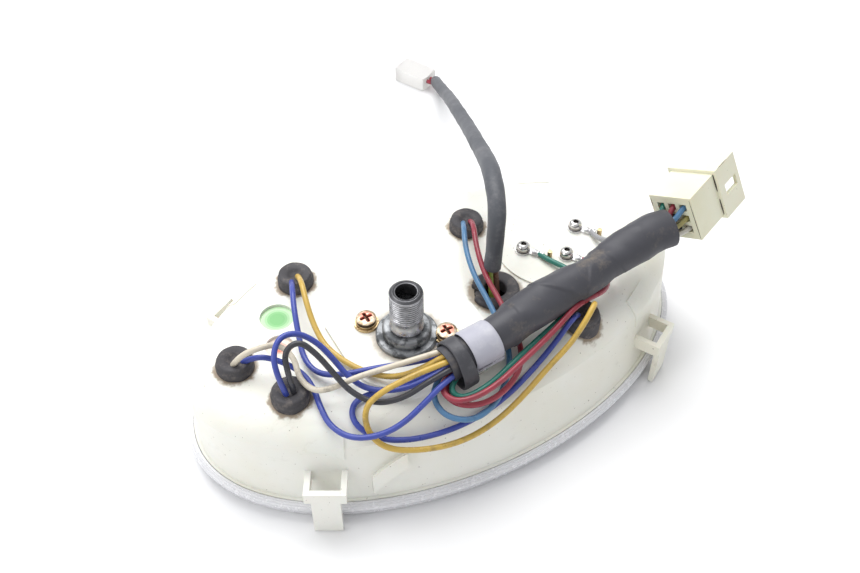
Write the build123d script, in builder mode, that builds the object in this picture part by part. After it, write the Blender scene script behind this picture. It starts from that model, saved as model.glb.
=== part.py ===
from build123d import *
import math
import os

os.makedirs("parts", exist_ok=True)

# ---------------------------------------------------------------- driving dimensions, mm and degrees
# The cluster lies on its clear lens: Z = 0 is the lens's front face, +Z points out of its back,
# +X runs along the oval and +Y across it. The origin is the oval's centre.
RIM_A = 101.0            # half length of the oval lens rim
RIM_B = 60.5             # half width of the oval lens rim
LENS_FACE = 2.4          # thickness of the lens's front
LENS_WALL = 2.4          # thickness of the lens's skirt
LENS_TOP = 8.2           # height of the skirt
LENS_LEDGE = 2.8         # height of the thicker band at the top of the skirt
LENS_STEP = 0.8          # how far that band stands out
LENS_ROUND = 3.0         # rounding of the lens's front edge

GASKET_THICK = 1.6       # rubber seal between lens and housing
FLANGE_WIDTH = 3.0       # housing flange that sits on the seal
HOUSING_INSET = 3.6      # housing wall inside the rim, at its foot
CREASE_HEIGHT = 33.0     # where the wall turns into the shoulder
CREASE_LEAN_X = 0.6      # how far the ends lean in between foot and crease
CREASE_LEAN_Y = 5.2      # how far the long sides lean in
BACK_HEIGHT = 41.0       # flat back of the housing
SHOULDER_X = 11.5        # width of the rounded shoulder at the ends
SHOULDER_Y = 12.0        # width of the rounded shoulder at the long sides
HOUSING_WALL = 2.2

PAD_HEIGHT = 1.0         # raised pad round the speedometer fitting
PAD_LEFT = -45.0
PAD_RIGHT = 6.0
PAD_TOP = 5.5
PAD_BOTTOM = -34.0
PAD_CORNER = 16.0

BRACKET_TURN = 47.2      # place of each bracket on the oval, from the long axis
BRACKET_OUT = 4.1        # outer face beyond the rim
BRACKET_PLATE = 2.0      # thickness of the bracket's walls
BRACKET_WIDTH = 14.4
BRACKET_TOP = 23.0
BRACKET_DEPTH = 5.0      # height of the bracket's loop
LEG_WIDTH = 9.9

FITTING_X = -21.5        # axis of the speedometer: cable fitting, magnet, cup and needle
FITTING_Y = -14.5
FITTING_R = 6.0          # outside of the cable thread
FITTING_TOP = 64.7
FITTING_MOUTH_R = 3.6    # mouth that takes the cable's inner end
FITTING_MOUTH_DEPTH = 12.5
HUB_R = 8.6
HUB_HEIGHT = 3.6
FLANGE_R = 11.0
FLANGE_THICK = 1.8
FRAME_HOLE_R = 7.0       # hole in the housing for the fitting's neck

SHAFT_R = 2.0            # speedometer drive shaft
SHAFT_CLEARANCE = 0.05
DRIVE_SQUARE = 2.4       # square socket in the shaft's end
MAGNET_R = 8.5
MAGNET_THICK = 4.0
CUP_GAP = 0.6            # air gap between magnet and speed cup
CUP_WALL = 0.5
SPINDLE_R = 0.8
SPINDLE_CLEARANCE = 0.05

DIAL_HEIGHT = 10.0       # front face of the dial plate
DIAL_THICK = 1.0
NEEDLE_HEIGHT = 7.0      # middle of the needles
NEEDLE_THICK = 0.9
SPEED_NEEDLE = 24.0      # length of the speed needle, pivot to tip
FUEL_NEEDLE = 17.0

DRUM_R = 5.4             # odometer number drums
DRUM_WIDTH = 3.6
DRUM_PITCH = 4.0
DRUM_COUNT = 5
DRUM_OFFSET = 15.5

GAUGE_X = 48.5           # axis of the fuel gauge
GAUGE_Y = -1.5
GAUGE_BOSS_R = 22.0
GAUGE_BODY_R = 15.5
GAUGE_SCREWS = [(36.6, 1.2), (60.6, 1.6), (49.1, -9.3)]
GAUGE_PINS = [(43.5, -6.5), (66.5, -6.0)]

SOCKETS = [(-79.2, 2.0), (-68.0, -19.2), (-45.0, 28.5), (24.6, 23.2), (36.4, -37.8)]
SOCKET_HEAD_R = 6.6      # rubber head of a bulb socket
SOCKET_BODY_R = 5.0
SOCKET_HEAD = 5.0        # height of the head above the back
SOCKET_DEPTH = 14.0      # body below the back
BULB_R = 2.6
BULB_LENGTH = 9.0

GREEN_X = -57.9
GREEN_Y = 16.1
ORANGE_X = -62.4
ORANGE_Y = 3.3
WINDOW_R = 6.2           # round window in the back for a filter
FILTER_THICK = 1.5
FILTER_SINK = 1.2        # filter's back below the housing's back

GROMMET_X = 16.6
GROMMET_Y = -11.2
GROMMET_HOLE_R = 7.5
GROMMET_BORE_R = 4.2
GROMMET_HEAD = 2.2

SLEEVE_R = 6.5           # wrapped sleeve of the main harness
SLEEVE_ROUTE = [(-18, -38.3, 50.5), (1, -36.8, 52), (20, -32.8, 54), (40, -30.6, 56), (60, -27.6, 58.5),
                (77.5, -28.4, 59.2)]
CLAMP_ALONG = 11.8       # clamp's middle from the sleeve's left end
CLAMP_WIDTH = 11.0
CLAMP_THICK = 0.8
BAND_ALONG = 2.9         # rubber band's middle from the sleeve's left end
BAND_WIDTH = 5.0
BAND_THICK = 1.0

CONNECTOR_AT = (82.6, -27.0, 61.2)      # middle of the face where the wires go in
CONNECTOR_AXIS = (0.929, 0.359, 0.087)  # from that face to the mouth
CONNECTOR_ACROSS = (0.290, -0.854, 0.431)
CONNECTOR_W = 17.6
CONNECTOR_H = 18.1
CONNECTOR_BODY = 15.4
COLLAR_STEP = 1.35
COLLAR_LENGTH = 12.8
COLLAR_WALL = 1.5
CAVITY_DEPTH = 10.5
TERMINAL_PITCH = 4.6
TERMINAL_HALF = 1.5

LEAD_R = 3.1             # sleeve of the thin side lead
LEAD_ROUTE = [(17.9, -6.6, 50), (18.9, -6, 62), (20.6, -3.7, 72), (25, 5.5, 76.5), (31.5, 20.5, 73), (38.2, 37.1, 65),
              (48.5, 61.8, 53), (59.5, 88.8, 39), (70.5, 116, 25), (79.3, 139.2, 12), (84.6, 153.9, 5)]
SIDE_PLUG_LENGTH = 18.0
SIDE_PLUG_WIDTH = 11.0
SIDE_PLUG_HEIGHT = 7.0

WIRE = 2.05              # outside of a loose wire

WIRES = {
    "blue_top_left": [
        (-47.5, 25.5, 45.2), (-50, 18, 51.5), (-53.6, 8.5, 50), (-56, 0, 46), (-58, -8, 43.2),
        (-56.5, -16.5, 43.6), (-49.5, -22.3, 45.6), (-40, -25.8, 47.2), (-29, -31, 49),
        (-18, -36.1, 51.9)],
    "yellow_top_left": [
        (-44.5, 27, 45.2), (-45.8, 20, 51), (-48, 11.5, 50), (-49.3, 3, 46), (-49.2, -5.5, 43.3),
        (-46.8, -14, 43), (-42, -23, 43.1), (-35.5, -31.5, 45.3), (-27, -36.2, 50.5), (-18, -38, 55)],
    "beige": [
        (-80.3, 0, 45.2), (-78, -3, 52), (-71.5, -5, 54.5), (-65, -4.5, 52), (-61.8, -10, 49),
        (-63.8, -18, 47.5), (-61.5, -25, 47.2), (-56, -27.5, 48.3), (-48, -28.5, 50.2), (-39, -31, 52),
        (-28.5, -34, 54), (-18, -35.4, 54.1)],
    "blue_left": [
        (-77, -0.5, 45.2), (-73, -4, 50), (-66.5, -7.5, 47.5), (-61.2, -13.5, 44.8),
        (-60.2, -21, 43.8), (-61.5, -29, 43.2), (-61.5, -36, 41.3), (-57.5, -42.8, 40.2),
        (-50, -47.3, 41.6), (-41.5, -48.5, 43.8), (-32, -46.8, 47.5), (-24.5, -44.8, 50.4),
        (-18, -43.1, 50.3)],
    "blue_arch": [
        (-69.6, -20.3, 45.2), (-71, -18.5, 53), (-70, -13.5, 59), (-65.5, -9.5, 61.5),
        (-59.5, -10, 60.5), (-54.5, -13.5, 56.5), (-51.5, -19, 52), (-49.5, -25, 48),
        (-45.5, -31.5, 45.5), (-37.5, -36.8, 45.8), (-28, -39.8, 48.5), (-18, -40.3, 51.7)],
    "black_arch": [
        (-67, -20.5, 45.2), (-67.6, -19.3, 53.5), (-66.6, -14.8, 60), (-60.8, -14.4, 62),
        (-57, -19.8, 58), (-54.5, -25.5, 53.5), (-51.8, -32.7, 49.4), (-46, -39, 46.8),
        (-37.5, -42.5, 48.5), (-28, -42.8, 52.3), (-18, -42.3, 52.9)],
    "yellow_near": [
        (-18, -40.2, 54.1), (-27, -40.3, 55), (-36, -39.6, 53.8), (-44, -38.8, 51.5),
        (-50.3, -39.3, 48), (-51.8, -43.5, 40.8), (-48, -49.2, 35.4), (-37.5, -53.8, 33),
        (-24, -56.5, 31.5), (-10.5, -56, 32.5), (2.5, -53, 35.5), (15, -49, 39.5), (25, -47.2, 44.5),
        (30.5, -46.4, 51.8), (36.2, -43.4, 55), (39, -40.4, 51.2), (37.9, -39.4, 45.2)],
    "blue_near": [
        (-18, -38.3, 50), (-27, -37.3, 47.8), (-36, -34.5, 44.3), (-45.5, -31.5, 43),
        (-51.5, -32.5, 42.8), (-54, -37, 41), (-51.8, -42.3, 38.3), (-44.8, -47, 34.8), (-33, -51, 34),
        (-18, -52.5, 34), (-3, -51, 36.5), (11, -47, 40), (21.5, -43.5, 43.8), (30.3, -41.2, 50.8),
        (34.3, -38, 45.2)],
    "red_top": [
        (25.3, 21.5, 45.2), (22.3, 14.5, 52), (17, 3.5, 51.5), (13.8, -8, 48.8), (13.5, -20, 45.5),
        (12, -31, 43.5), (9.5, -41, 43), (3, -48.5, 42.6), (-6, -52.6, 42.2), (-15, -53.4, 42.6),
        (-22, -50, 43.6), (-23.6, -44, 44.4), (-18, -40.5, 46.4)],
    "light_blue_top": [
        (22.5, 22, 45.2), (18.8, 15.5, 51.5), (13.3, 5, 51), (10.3, -6.5, 48.5), (9.8, -18.5, 45.5),
        (8, -30, 43.5), (5, -40.5, 42.9), (-1.5, -48, 39.8), (-9.5, -53.8, 39.4), (-18.5, -56, 39.8),
        (-26, -52, 41.2), (-28, -45.5, 43.2), (-24.5, -39.5, 45.3), (-18, -37.7, 46.9)],
    "teal": [
        (-18, -42.9, 47.6), (-21.5, -44.8, 47), (-21.3, -48.1, 45.4), (-17.5, -50, 45),
        (-9, -49.3, 45.3), (1, -46, 45.6), (12, -42.5, 46.6), (23, -39.6, 48), (31, -37, 48.6),
        (38, -35.3, 48.2), (43.5, -32, 46.8), (46, -25, 45.4), (44, -15.5, 44.2), (41, -8, 43.3),
        (40.3, -4.1, 42.9)],
    "red_gauge": [
        (-18, -40.6, 49.1), (-22.6, -42, 48.4), (-25, -46, 47), (-22.5, -50.6, 46.3),
        (-16, -52.5, 46.8), (-7, -51.5, 47.2), (2.5, -48.4, 47.6), (13, -45.2, 48.6),
        (23.5, -42, 50.5), (31, -39.3, 52.3), (38.5, -37.8, 51.8), (45, -36.8, 50.5), (50.5, -33, 48),
        (54.5, -26.5, 46), (55.5, -19.5, 44.2), (52.8, -14.6, 42.9)],
    "grey_gauge": [
        (64.3, -3.7, 42.9), (63.4, -8.6, 44), (64.1, -14.5, 47.2), (65, -20, 51.5), (65.3, -24.5, 55)],
}

SCREWS = [(-31.6, -2.9), (-9.9, -22.2)]   # speedometer screws either side of the fitting
SCREW_HEAD_R = 3.6
SCREW_HEAD = 2.6
SCREW_SHANK_R = 2.0
WASHER_R = 4.45
WASHER_THICK = 1.0


# ---------------------------------------------------------------- shared shapes
def oval(height, half_length, half_width):
    """An oval face at a height."""
    with BuildSketch(Plane.XY.offset(height)) as outline:
        Ellipse(half_length, half_width)
    return outline.sketch


def slab(half_length, half_width, low, high, mode=Mode.ADD):
    """An oval block between two heights."""
    extrude(oval(low, half_length, half_width), amount=high - low, mode=mode)


def post(x, y, radius, low, high, mode=Mode.ADD):
    """An upright round post between two heights."""
    with BuildSketch(Plane.XY.offset(low)) as outline:
        with Locations((x, y)):
            Circle(radius)
    extrude(outline.sketch, amount=high - low, mode=mode)


def block(x0, x1, y0, y1, z0, z1, mode=Mode.ADD):
    """A block between two opposite corners."""
    with BuildSketch(Plane.XY.offset(z0)) as outline:
        with Locations(((x0 + x1) / 2, (y0 + y1) / 2)):
            Rectangle(abs(x1 - x0), abs(y1 - y0))
    extrude(outline.sketch, amount=z1 - z0, mode=mode)


def rod(start, end, radius, mode=Mode.ADD):
    """A round rod between two points."""
    way = Vector(*end) - Vector(*start)
    with BuildSketch(Plane(origin=start, z_dir=way)) as outline:
        Circle(radius)
    extrude(outline.sketch, amount=way.length, mode=mode)


WALL_A = RIM_A - HOUSING_INSET
WALL_B = RIM_B - HOUSING_INSET
SHOULDER_START = 32.0    # slope at which the shoulder leaves the crease


def wall_at(height):
    """Half length and half width of the housing's outside at a height below the crease."""
    share = (height - LENS_TOP) / (CREASE_HEIGHT - LENS_TOP)
    return WALL_A - CREASE_LEAN_X * share, WALL_B - CREASE_LEAN_Y * share


def dome(shrink, drop, mode=Mode.ADD):
    """The housing's leaning wall and rounded shoulder, made smaller all round and lower by a wall's thickness."""
    crease = CREASE_HEIGHT - drop / 2
    foot_a, foot_b = wall_at(LENS_TOP)
    crease_a, crease_b = wall_at(CREASE_HEIGHT)
    loft([oval(LENS_TOP, foot_a - shrink, foot_b - shrink), oval(crease, crease_a - shrink, crease_b - shrink)],
         ruled=True, mode=mode)
    start = math.radians(SHOULDER_START)
    rise = BACK_HEIGHT - drop - crease
    sections = []
    for step in range(6):
        angle = start + (math.pi / 2 - start) * step / 5
        inward = (math.cos(start) - math.cos(angle)) / math.cos(start)
        upward = (math.sin(angle) - math.sin(start)) / (1 - math.sin(start))
        sections.append(oval(crease + rise * upward, crease_a - shrink - SHOULDER_X * inward,
                             crease_b - shrink - SHOULDER_Y * inward))
    loft(sections, mode=mode)


# ---------------------------------------------------------------- lens and seal
LENS_IN_A = RIM_A - LENS_WALL
LENS_IN_B = RIM_B - LENS_WALL
with BuildPart() as lens:
    slab(RIM_A - LENS_STEP, RIM_B - LENS_STEP, 0, LENS_TOP)
    fillet(lens.edges().group_by(Axis.Z)[0], radius=LENS_ROUND)
    slab(RIM_A, RIM_B, LENS_TOP - LENS_LEDGE, LENS_TOP)
    slab(LENS_IN_A, LENS_IN_B, LENS_FACE, LENS_TOP, mode=Mode.SUBTRACT)
lens.part.label = "lens"
export_step(lens.part, "parts/lens.step")

SEAT = LENS_FACE + GASKET_THICK
FLANGE_A = LENS_IN_A - 0.1
FLANGE_B = LENS_IN_B - 0.1
with BuildPart() as lens_gasket:
    slab(FLANGE_A, FLANGE_B, LENS_FACE, SEAT)
    slab(FLANGE_A - FLANGE_WIDTH, FLANGE_B - FLANGE_WIDTH, LENS_FACE, SEAT, mode=Mode.SUBTRACT)
lens_gasket.part.label = "lens_gasket"
export_step(lens_gasket.part, "parts/lens_gasket.step")

# ---------------------------------------------------------------- rear housing
INSIDE_TOP = BACK_HEIGHT - HOUSING_WALL
PAD_LEVEL = BACK_HEIGHT + PAD_HEIGHT
GAUGE_BOSS = 0.8
GAUGE_STUD_R = 1.7
PIN_R = 0.9

with BuildPart() as housing_solid:
    slab(FLANGE_A, FLANGE_B, SEAT, LENS_TOP)
    dome(0, 0)

with BuildPart() as rear_housing:
    add(housing_solid.part)
    with BuildSketch(Plane.XY.offset(BACK_HEIGHT - HOUSING_WALL / 2)) as pad:
        with Locations(((PAD_LEFT + PAD_RIGHT) / 2, (PAD_TOP + PAD_BOTTOM) / 2)):
            Rectangle(PAD_RIGHT - PAD_LEFT, PAD_TOP - PAD_BOTTOM)
        corners = pad.vertices().sort_by(Axis.X)
        fillet(corners[:2].sort_by(Axis.Y)[0], radius=PAD_CORNER)
        fillet(pad.vertices().sort_by(Axis.Y)[-2:], radius=3)
    extrude(pad.sketch, amount=HOUSING_WALL / 2 + PAD_HEIGHT)
    post(GAUGE_X, GAUGE_Y, GAUGE_BOSS_R, BACK_HEIGHT - HOUSING_WALL / 2, BACK_HEIGHT + GAUGE_BOSS)
    slab(wall_at(LENS_TOP)[0] - HOUSING_WALL, wall_at(LENS_TOP)[1] - HOUSING_WALL, SEAT, LENS_TOP,
         mode=Mode.SUBTRACT)
    dome(HOUSING_WALL, HOUSING_WALL, mode=Mode.SUBTRACT)
    post(FITTING_X, FITTING_Y, FRAME_HOLE_R, 0, FITTING_TOP, mode=Mode.SUBTRACT)
    for x, y in SOCKETS:
        post(x, y, SOCKET_BODY_R, LENS_TOP, FITTING_TOP, mode=Mode.SUBTRACT)
    for x, y in SCREWS:
        post(x, y, SCREW_SHANK_R, LENS_TOP, FITTING_TOP, mode=Mode.SUBTRACT)
    for x, y in GAUGE_SCREWS:
        post(x, y, GAUGE_STUD_R, LENS_TOP, FITTING_TOP, mode=Mode.SUBTRACT)
    for x, y in GAUGE_PINS:
        post(x, y, PIN_R, LENS_TOP, FITTING_TOP, mode=Mode.SUBTRACT)
    post(GREEN_X, GREEN_Y, WINDOW_R, LENS_TOP, FITTING_TOP, mode=Mode.SUBTRACT)
    post(ORANGE_X, ORANGE_Y, WINDOW_R - 1.2, LENS_TOP, FITTING_TOP, mode=Mode.SUBTRACT)
    post(GROMMET_X, GROMMET_Y, GROMMET_HOLE_R, LENS_TOP, FITTING_TOP, mode=Mode.SUBTRACT)
rear_housing.part.label = "rear_housing"
export_step(rear_housing.part, "parts/rear_housing.step")

# ---------------------------------------------------------------- mounting brackets
def bracket_plane(turn, height):
    """The plane of a bracket: its X points straight out of the rim, at a height."""
    angle = math.radians(turn)
    x = RIM_A * math.cos(angle)
    y = RIM_B * math.sin(angle)
    outward = (math.cos(angle) / RIM_A, math.sin(angle) / RIM_B, 0)
    return Plane(origin=(x, y, height), x_dir=outward, z_dir=(0, 0, 1))


def bracket_box(turn, low, high, inner, outer, left, right):
    """One straight wall of a bracket: from inner to outer across the rim, left to right along it."""
    with BuildSketch(bracket_plane(turn, low)) as outline:
        with Locations(((inner + outer) / 2, (left + right) / 2)):
            Rectangle(outer - inner, right - left)
    extrude(outline.sketch, amount=high - low)


ARM_REACH = HOUSING_INSET + CREASE_LEAN_Y + 6
LEG_FOOT = 0.3
with BuildPart() as mounting_brackets:
    for turn in (BRACKET_TURN, 180 - BRACKET_TURN, 180 + BRACKET_TURN, 360 - BRACKET_TURN):
        plate_in = BRACKET_OUT - BRACKET_PLATE
        loop_low = BRACKET_TOP - BRACKET_DEPTH
        half = BRACKET_WIDTH / 2
        bracket_box(turn, loop_low, BRACKET_TOP, plate_in, BRACKET_OUT, -half, half)
        bracket_box(turn, loop_low, BRACKET_TOP, -ARM_REACH, plate_in, -half, BRACKET_PLATE - half)
        bracket_box(turn, loop_low, BRACKET_TOP, -ARM_REACH, plate_in, half - BRACKET_PLATE, half)
        bracket_box(turn, LEG_FOOT, loop_low, plate_in, BRACKET_OUT, -LEG_WIDTH / 2, LEG_WIDTH / 2)
    add(housing_solid.part, mode=Mode.SUBTRACT)
mounting_brackets.part.label = "mounting_brackets"
export_step(mounting_brackets.part, "parts/mounting_brackets.step")

# ---------------------------------------------------------------- dial side
MASK_GAP = 0.15
MASK_WIDTH = 9.0
DIAL_BACK = DIAL_HEIGHT + DIAL_THICK
dial_a = wall_at(DIAL_BACK)[0] - HOUSING_WALL - 2 * MASK_GAP
dial_b = wall_at(DIAL_BACK)[1] - HOUSING_WALL - 2 * MASK_GAP
with BuildPart() as dial_mask:
    slab(dial_a, dial_b, LENS_FACE, DIAL_HEIGHT)
    loft([oval(LENS_FACE, dial_a - MASK_WIDTH / 3, dial_b - MASK_WIDTH / 3),
          oval(DIAL_HEIGHT, dial_a - MASK_WIDTH, dial_b - MASK_WIDTH)], ruled=True, mode=Mode.SUBTRACT)
dial_mask.part.label = "dial_mask"
export_step(dial_mask.part, "parts/dial_mask.step")

SPINDLE_HOLE_R = 2.4
DRUM_AXIS_Y = FITTING_Y + DRUM_OFFSET + 1
DRUM_MID_X = FITTING_X - 4.5
with BuildPart() as dial_plate:
    slab(dial_a, dial_b, DIAL_HEIGHT, DIAL_BACK)
    post(FITTING_X, FITTING_Y, SPINDLE_HOLE_R, DIAL_HEIGHT, DIAL_BACK, mode=Mode.SUBTRACT)
    post(GAUGE_X, GAUGE_Y, SPINDLE_HOLE_R, DIAL_HEIGHT, DIAL_BACK, mode=Mode.SUBTRACT)
    half_row = DRUM_PITCH * DRUM_COUNT / 2
    block(DRUM_MID_X - half_row, DRUM_MID_X + half_row, DRUM_AXIS_Y - 2.2, DRUM_AXIS_Y + 2.2,
          DIAL_HEIGHT, DIAL_BACK, mode=Mode.SUBTRACT)
    post(GREEN_X, GREEN_Y, 3, DIAL_HEIGHT, DIAL_BACK, mode=Mode.SUBTRACT)
    post(ORANGE_X, ORANGE_Y - 1, 3, DIAL_HEIGHT, DIAL_BACK, mode=Mode.SUBTRACT)
dial_plate.part.label = "dial_plate"
export_step(dial_plate.part, "parts/dial_plate.step")

FILTER_TOP = BACK_HEIGHT - FILTER_SINK
with BuildPart() as green_filter:
    post(GREEN_X, GREEN_Y, WINDOW_R, FILTER_TOP - FILTER_THICK, FILTER_TOP)
green_filter.part.label = "green_filter"
export_step(green_filter.part, "parts/green_filter.step")

with BuildPart() as orange_filter:
    post(ORANGE_X, ORANGE_Y, WINDOW_R - 1.2, FILTER_TOP - FILTER_THICK, FILTER_TOP)
orange_filter.part.label = "orange_filter"
export_step(orange_filter.part, "parts/orange_filter.step")

# ---------------------------------------------------------------- cable fitting and speedometer
NECK_R = FRAME_HOLE_R
STEM_FOOT = 29.0
STEM_R = 4.5
FRAME_SHEET = 1.6
FLANGE_TOP = PAD_LEVEL + FLANGE_THICK
HUB_TOP = FLANGE_TOP + HUB_HEIGHT
BORE_R = SHAFT_R + SHAFT_CLEARANCE
with BuildPart() as fitting_flange:
    post(FITTING_X, FITTING_Y, FLANGE_R, PAD_LEVEL, FLANGE_TOP)
    chamfer(fitting_flange.edges().group_by(Axis.Z)[-1], length=0.5)
    post(FITTING_X, FITTING_Y, NECK_R, PAD_LEVEL, FLANGE_TOP, mode=Mode.SUBTRACT)
fitting_flange.part.label = "fitting_flange"
export_step(fitting_flange.part, "parts/fitting_flange.step")

with BuildPart() as cable_fitting:
    post(FITTING_X, FITTING_Y, FITTING_R, FLANGE_TOP, FITTING_TOP)
    chamfer(cable_fitting.edges().group_by(Axis.Z)[-1], length=0.6)
    post(FITTING_X, FITTING_Y, STEM_R, STEM_FOOT, FLANGE_TOP)
    post(FITTING_X, FITTING_Y, NECK_R, INSIDE_TOP - FRAME_SHEET, FLANGE_TOP)
    post(FITTING_X, FITTING_Y, HUB_R, FLANGE_TOP, HUB_TOP)
    post(FITTING_X, FITTING_Y, BORE_R, STEM_FOOT, FITTING_TOP, mode=Mode.SUBTRACT)
    post(FITTING_X, FITTING_Y, FITTING_MOUTH_R, FITTING_TOP - FITTING_MOUTH_DEPTH, FITTING_TOP,
         mode=Mode.SUBTRACT)
cable_fitting.part.label = "cable_fitting"
export_step(cable_fitting.part, "parts/cable_fitting.step")

SCREW_SEAT = PAD_LEVEL + WASHER_THICK
CLIP_SEAT = PAD_LEVEL + CLAMP_THICK
SCREW_FOOT = 33.0
screw_seats = [SCREW_SEAT, SCREW_SEAT + CLAMP_THICK]
with BuildPart() as speedometer_screws:
    for (x, y), seat in zip(SCREWS, screw_seats):
        post(x, y, SCREW_SHANK_R, SCREW_FOOT, seat)
        post(x, y, SCREW_HEAD_R, seat, seat + SCREW_HEAD)
        block(x - 2, x + 2, y - 0.5, y + 0.5, seat + SCREW_HEAD - 1, seat + SCREW_HEAD, mode=Mode.SUBTRACT)
        block(x - 0.5, x + 0.5, y - 2, y + 2, seat + SCREW_HEAD - 1, seat + SCREW_HEAD, mode=Mode.SUBTRACT)
speedometer_screws.part.label = "speedometer_screws"
export_step(speedometer_screws.part, "parts/speedometer_screws.step")

with BuildPart() as speedometer_washers:
    for (x, y), seat in zip(SCREWS, screw_seats):
        post(x, y, WASHER_R, seat - WASHER_THICK, seat)
        post(x, y, SCREW_SHANK_R, seat - WASHER_THICK, seat, mode=Mode.SUBTRACT)
    # the flange of the fitting is cut clear of the washers
    post(FITTING_X, FITTING_Y, FLANGE_R, PAD_LEVEL, HUB_TOP, mode=Mode.SUBTRACT)
speedometer_washers.part.label = "speedometer_washers"
export_step(speedometer_washers.part, "parts/speedometer_washers.step")

FRAME_HALF = 19.0
FRAME_NEAR = FITTING_Y - 11.5
FRAME_FAR = DRUM_AXIS_Y + DRUM_R + 3
BRIDGE_LOW = DIAL_BACK
BRIDGE_TOP = BRIDGE_LOW + FRAME_SHEET
CUP_FOOT = BRIDGE_TOP + 1.6
CUP_INNER_R = MAGNET_R + CUP_GAP
MAGNET_FOOT = CUP_FOOT + 1.6
MAGNET_TOP = MAGNET_FOOT + MAGNET_THICK
WORM_R = 3.2
WORM_FOOT = MAGNET_TOP + 2.6
WORM_LENGTH = 4.6
WORM_MID = WORM_FOOT + WORM_LENGTH / 2
WHEEL_R = 4.2
MESH_GAP = 0.2           # play between each worm and its plain-rimmed wheel
CROSS_X = FITTING_X + WORM_R + WHEEL_R + MESH_GAP
CROSS_R = 1.0
CROSS_WORM_R = 2.2
DRUM_AXLE_R = 0.9
DRUM_AXIS_Z = WORM_MID - CROSS_WORM_R - DRUM_R - MESH_GAP
LUG_HALF = 3.0
LUG_NEAR = FITTING_Y - 5.2
LUG_FAR = DRUM_AXIS_Y + 5.2
with BuildPart() as speedometer_frame:
    x0 = FITTING_X - FRAME_HALF
    x1 = FITTING_X + FRAME_HALF
    block(x0, x1, FRAME_NEAR, FRAME_FAR, INSIDE_TOP - FRAME_SHEET, INSIDE_TOP)
    block(x0, x0 + FRAME_SHEET, FRAME_NEAR, FRAME_FAR, BRIDGE_LOW, INSIDE_TOP - FRAME_SHEET)
    block(x1 - FRAME_SHEET, x1, FRAME_NEAR, FRAME_FAR, BRIDGE_LOW, INSIDE_TOP - FRAME_SHEET)
    block(x0, x1, FITTING_Y - 5, FITTING_Y + 5, BRIDGE_LOW, BRIDGE_TOP)
    for y in (LUG_NEAR, LUG_FAR):
        block(CROSS_X - LUG_HALF, CROSS_X + LUG_HALF, y - FRAME_SHEET / 2, y + FRAME_SHEET / 2,
              WORM_MID - LUG_HALF, INSIDE_TOP - FRAME_SHEET)
    post(FITTING_X, FITTING_Y, NECK_R, INSIDE_TOP - FRAME_SHEET, INSIDE_TOP, mode=Mode.SUBTRACT)
    post(FITTING_X, FITTING_Y, SPINDLE_R + SPINDLE_CLEARANCE, BRIDGE_LOW, BRIDGE_TOP, mode=Mode.SUBTRACT)
    for x, y in SCREWS:
        post(x, y, SCREW_SHANK_R, INSIDE_TOP - FRAME_SHEET, INSIDE_TOP, mode=Mode.SUBTRACT)
    rod((CROSS_X, LUG_NEAR - 3, WORM_MID), (CROSS_X, LUG_FAR + 3, WORM_MID), CROSS_R + SHAFT_CLEARANCE,
        mode=Mode.SUBTRACT)
    rod((x0, DRUM_AXIS_Y, DRUM_AXIS_Z), (x1, DRUM_AXIS_Y, DRUM_AXIS_Z), DRUM_AXLE_R, mode=Mode.SUBTRACT)
speedometer_frame.part.label = "speedometer_frame"
export_step(speedometer_frame.part, "parts/speedometer_frame.step")

SHAFT_TOP = FITTING_TOP - FITTING_MOUTH_DEPTH - 0.6
with BuildPart() as drive_shaft:
    post(FITTING_X, FITTING_Y, SHAFT_R, MAGNET_FOOT, SHAFT_TOP)
    post(FITTING_X, FITTING_Y, WORM_R, WORM_FOOT, WORM_FOOT + WORM_LENGTH)
    half = DRIVE_SQUARE / 2
    block(FITTING_X - half, FITTING_X + half, FITTING_Y - half, FITTING_Y + half, SHAFT_TOP - 8, SHAFT_TOP,
          mode=Mode.SUBTRACT)
drive_shaft.part.label = "drive_shaft"
export_step(drive_shaft.part, "parts/drive_shaft.step")

with BuildPart() as drive_magnet:
    post(FITTING_X, FITTING_Y, MAGNET_R, MAGNET_FOOT, MAGNET_TOP)
    post(FITTING_X, FITTING_Y, SHAFT_R, MAGNET_FOOT, MAGNET_TOP, mode=Mode.SUBTRACT)
drive_magnet.part.label = "drive_magnet"
export_step(drive_magnet.part, "parts/drive_magnet.step")

with BuildPart() as speed_cup:
    post(FITTING_X, FITTING_Y, CUP_INNER_R + CUP_WALL, CUP_FOOT, MAGNET_TOP)
    post(FITTING_X, FITTING_Y, CUP_INNER_R, CUP_FOOT + CUP_WALL, MAGNET_TOP, mode=Mode.SUBTRACT)
    post(FITTING_X, FITTING_Y, SPINDLE_R, CUP_FOOT, CUP_FOOT + CUP_WALL, mode=Mode.SUBTRACT)
speed_cup.part.label = "speed_cup"
export_step(speed_cup.part, "parts/speed_cup.step")

NEEDLE_LOW = NEEDLE_HEIGHT - NEEDLE_THICK / 2
NEEDLE_HUB_R = 3.2
with BuildPart() as speed_spindle:
    post(FITTING_X, FITTING_Y, SPINDLE_R, NEEDLE_LOW, CUP_FOOT + CUP_WALL)
    post(FITTING_X, FITTING_Y, SPINDLE_R + 0.6, BRIDGE_TOP + 0.2, CUP_FOOT)
speed_spindle.part.label = "speed_spindle"
export_step(speed_spindle.part, "parts/speed_spindle.step")


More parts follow.
